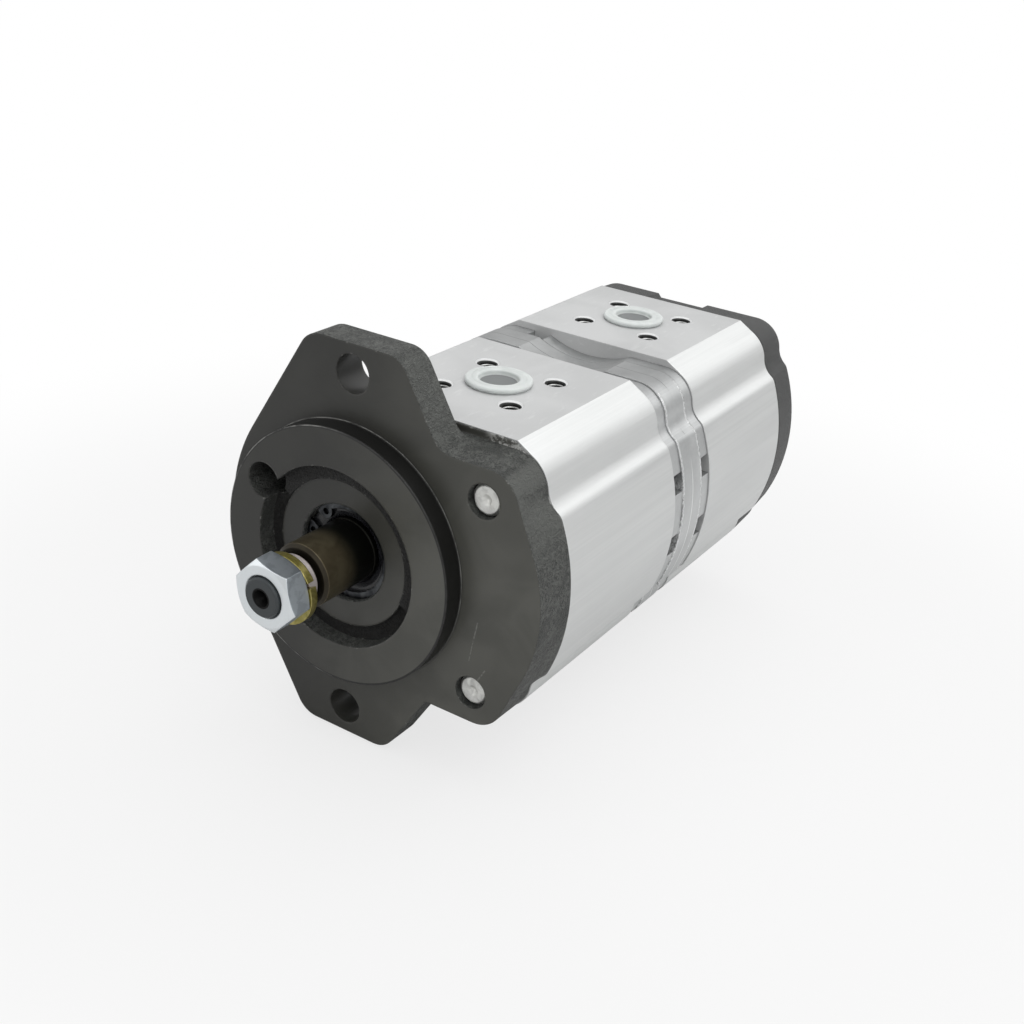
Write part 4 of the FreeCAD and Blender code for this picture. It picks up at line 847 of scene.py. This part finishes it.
# metres from here on, and millimetres for the lens
stage = {"floor": -0.0645, "floorSize": 6.0, "floorColour": (0.58, 0.58, 0.58), "selfGlow": 0.74,
         "fadeMiddle": (0.02, 0.07), "fade": (0.16, 0.34), "worldStrength": 0.57}
lights = {
    "keyLight": {"place": (0.75, -0.25, 0.75), "target": (0.02, 0.06, 0.0), "size": (1.2, 1.2), "power": 6.0},
    "topLight": {"place": (0.0, 0.25, 0.9), "target": (0.02, 0.06, 0.0), "size": (1.3, 1.3), "power": 6.3},
    "fillLight": {"place": (-0.7, -0.6, 0.25), "target": (0.0, 0.0, 0.0), "size": (0.9, 0.9), "power": 1.6},
    "rimLight": {"place": (0.36, 1.0, 0.46), "target": (0.05, 0.1, 0.03), "size": (0.6, 0.4), "power": 0.75},
}
view = {"lens": 47.97, "place": (0.2207, -0.2765, 0.1879), "forward": (-0.4631, 0.7700, -0.4389),
        "right": (0.8356, 0.5444, 0.0733)}


def makeFloor():
    half = stage["floorSize"] / 2
    mesh = bpy.data.meshes.new("floor")
    corners = [(-half, -half, 0), (half, -half, 0), (half, half, 0), (-half, half, 0)]
    mesh.from_pydata(corners, [], [(0, 1, 2, 3)])
    floor = bpy.data.objects.new("floor", mesh)
    floor.location.z = stage["floor"]
    bpy.context.scene.collection.objects.link(floor)
    material, tree, shader = startMaterial("paleFloor")
    feed(tree, shader["Base Color"], stage["floorColour"])
    feed(tree, shader["Roughness"], 0.9)
    # seen by the camera it fades to plain white away from the object
    x, y, _ = splitPlace(tree)
    middle, fade = [tuple(part / mm for part in stage[name]) for name in ("fadeMiddle", "fade")]
    far = ramp(tree, distanceFrom(tree, x, y, middle), *fade, stage["selfGlow"], 1.0)
    mix = addNode(tree, "ShaderNodeMixShader")
    feed(tree, mix.inputs[0], times(tree, far, addNode(tree, "ShaderNodeLightPath").outputs["Is Camera Ray"]))
    feed(tree, mix.inputs[1], tree.nodes["Principled BSDF"].outputs[0])
    feed(tree, mix.inputs[2], addNode(tree, "ShaderNodeEmission").outputs[0])
    feed(tree, tree.nodes["Material Output"].inputs["Surface"], mix.outputs[0])
    mesh.materials.append(material)


def addArea(name, place, target, size, power):
    light = bpy.data.lights.new(name, "AREA")
    light.shape = "RECTANGLE"
    light.size, light.size_y = size
    light.energy = power
    thing = bpy.data.objects.new(name, light)
    thing.location = place
    thing.rotation_euler = (Vector(target) - Vector(place)).to_track_quat("-Z", "Y").to_euler()
    bpy.context.scene.collection.objects.link(thing)


def makeWorld():
    world = bpy.data.worlds.new("studio")
    bpy.context.scene.world = world
    world.use_nodes = True
    tree = world.node_tree
    background = tree.nodes["Background"].inputs
    seen = addNode(tree, "ShaderNodeLightPath").outputs["Is Camera Ray"]
    feed(tree, background["Color"], (1.0, 1.0, 1.0))
    feed(tree, background["Strength"], ramp(tree, seen, 0.0, 1.0, stage["worldStrength"], 1.0))


def makeCamera():
    # placed so that the picture's vanishing points and sizes come out as photographed
    data = bpy.data.cameras.new("camera")
    camera = bpy.data.objects.new("camera", data)
    bpy.context.scene.collection.objects.link(camera)
    data.sensor_width = 36.0
    data.lens = view["lens"]
    data.clip_start, data.clip_end = 0.01, 20.0
    forward = Vector(view["forward"]).normalized()
    right = Vector(view["right"])
    right = (right - forward * right.dot(forward)).normalized()
    turn = Matrix((right, right.cross(forward), -forward)).transposed().to_4x4()
    camera.matrix_world = Matrix.Translation(Vector(view["place"])) @ turn
    bpy.context.scene.camera = camera


makeFloor()
for name, light in lights.items():
    addArea(name, **light)
makeWorld()
makeCamera()
bpy.context.scene.view_settings.view_transform = "Standard"
print("stage is set")
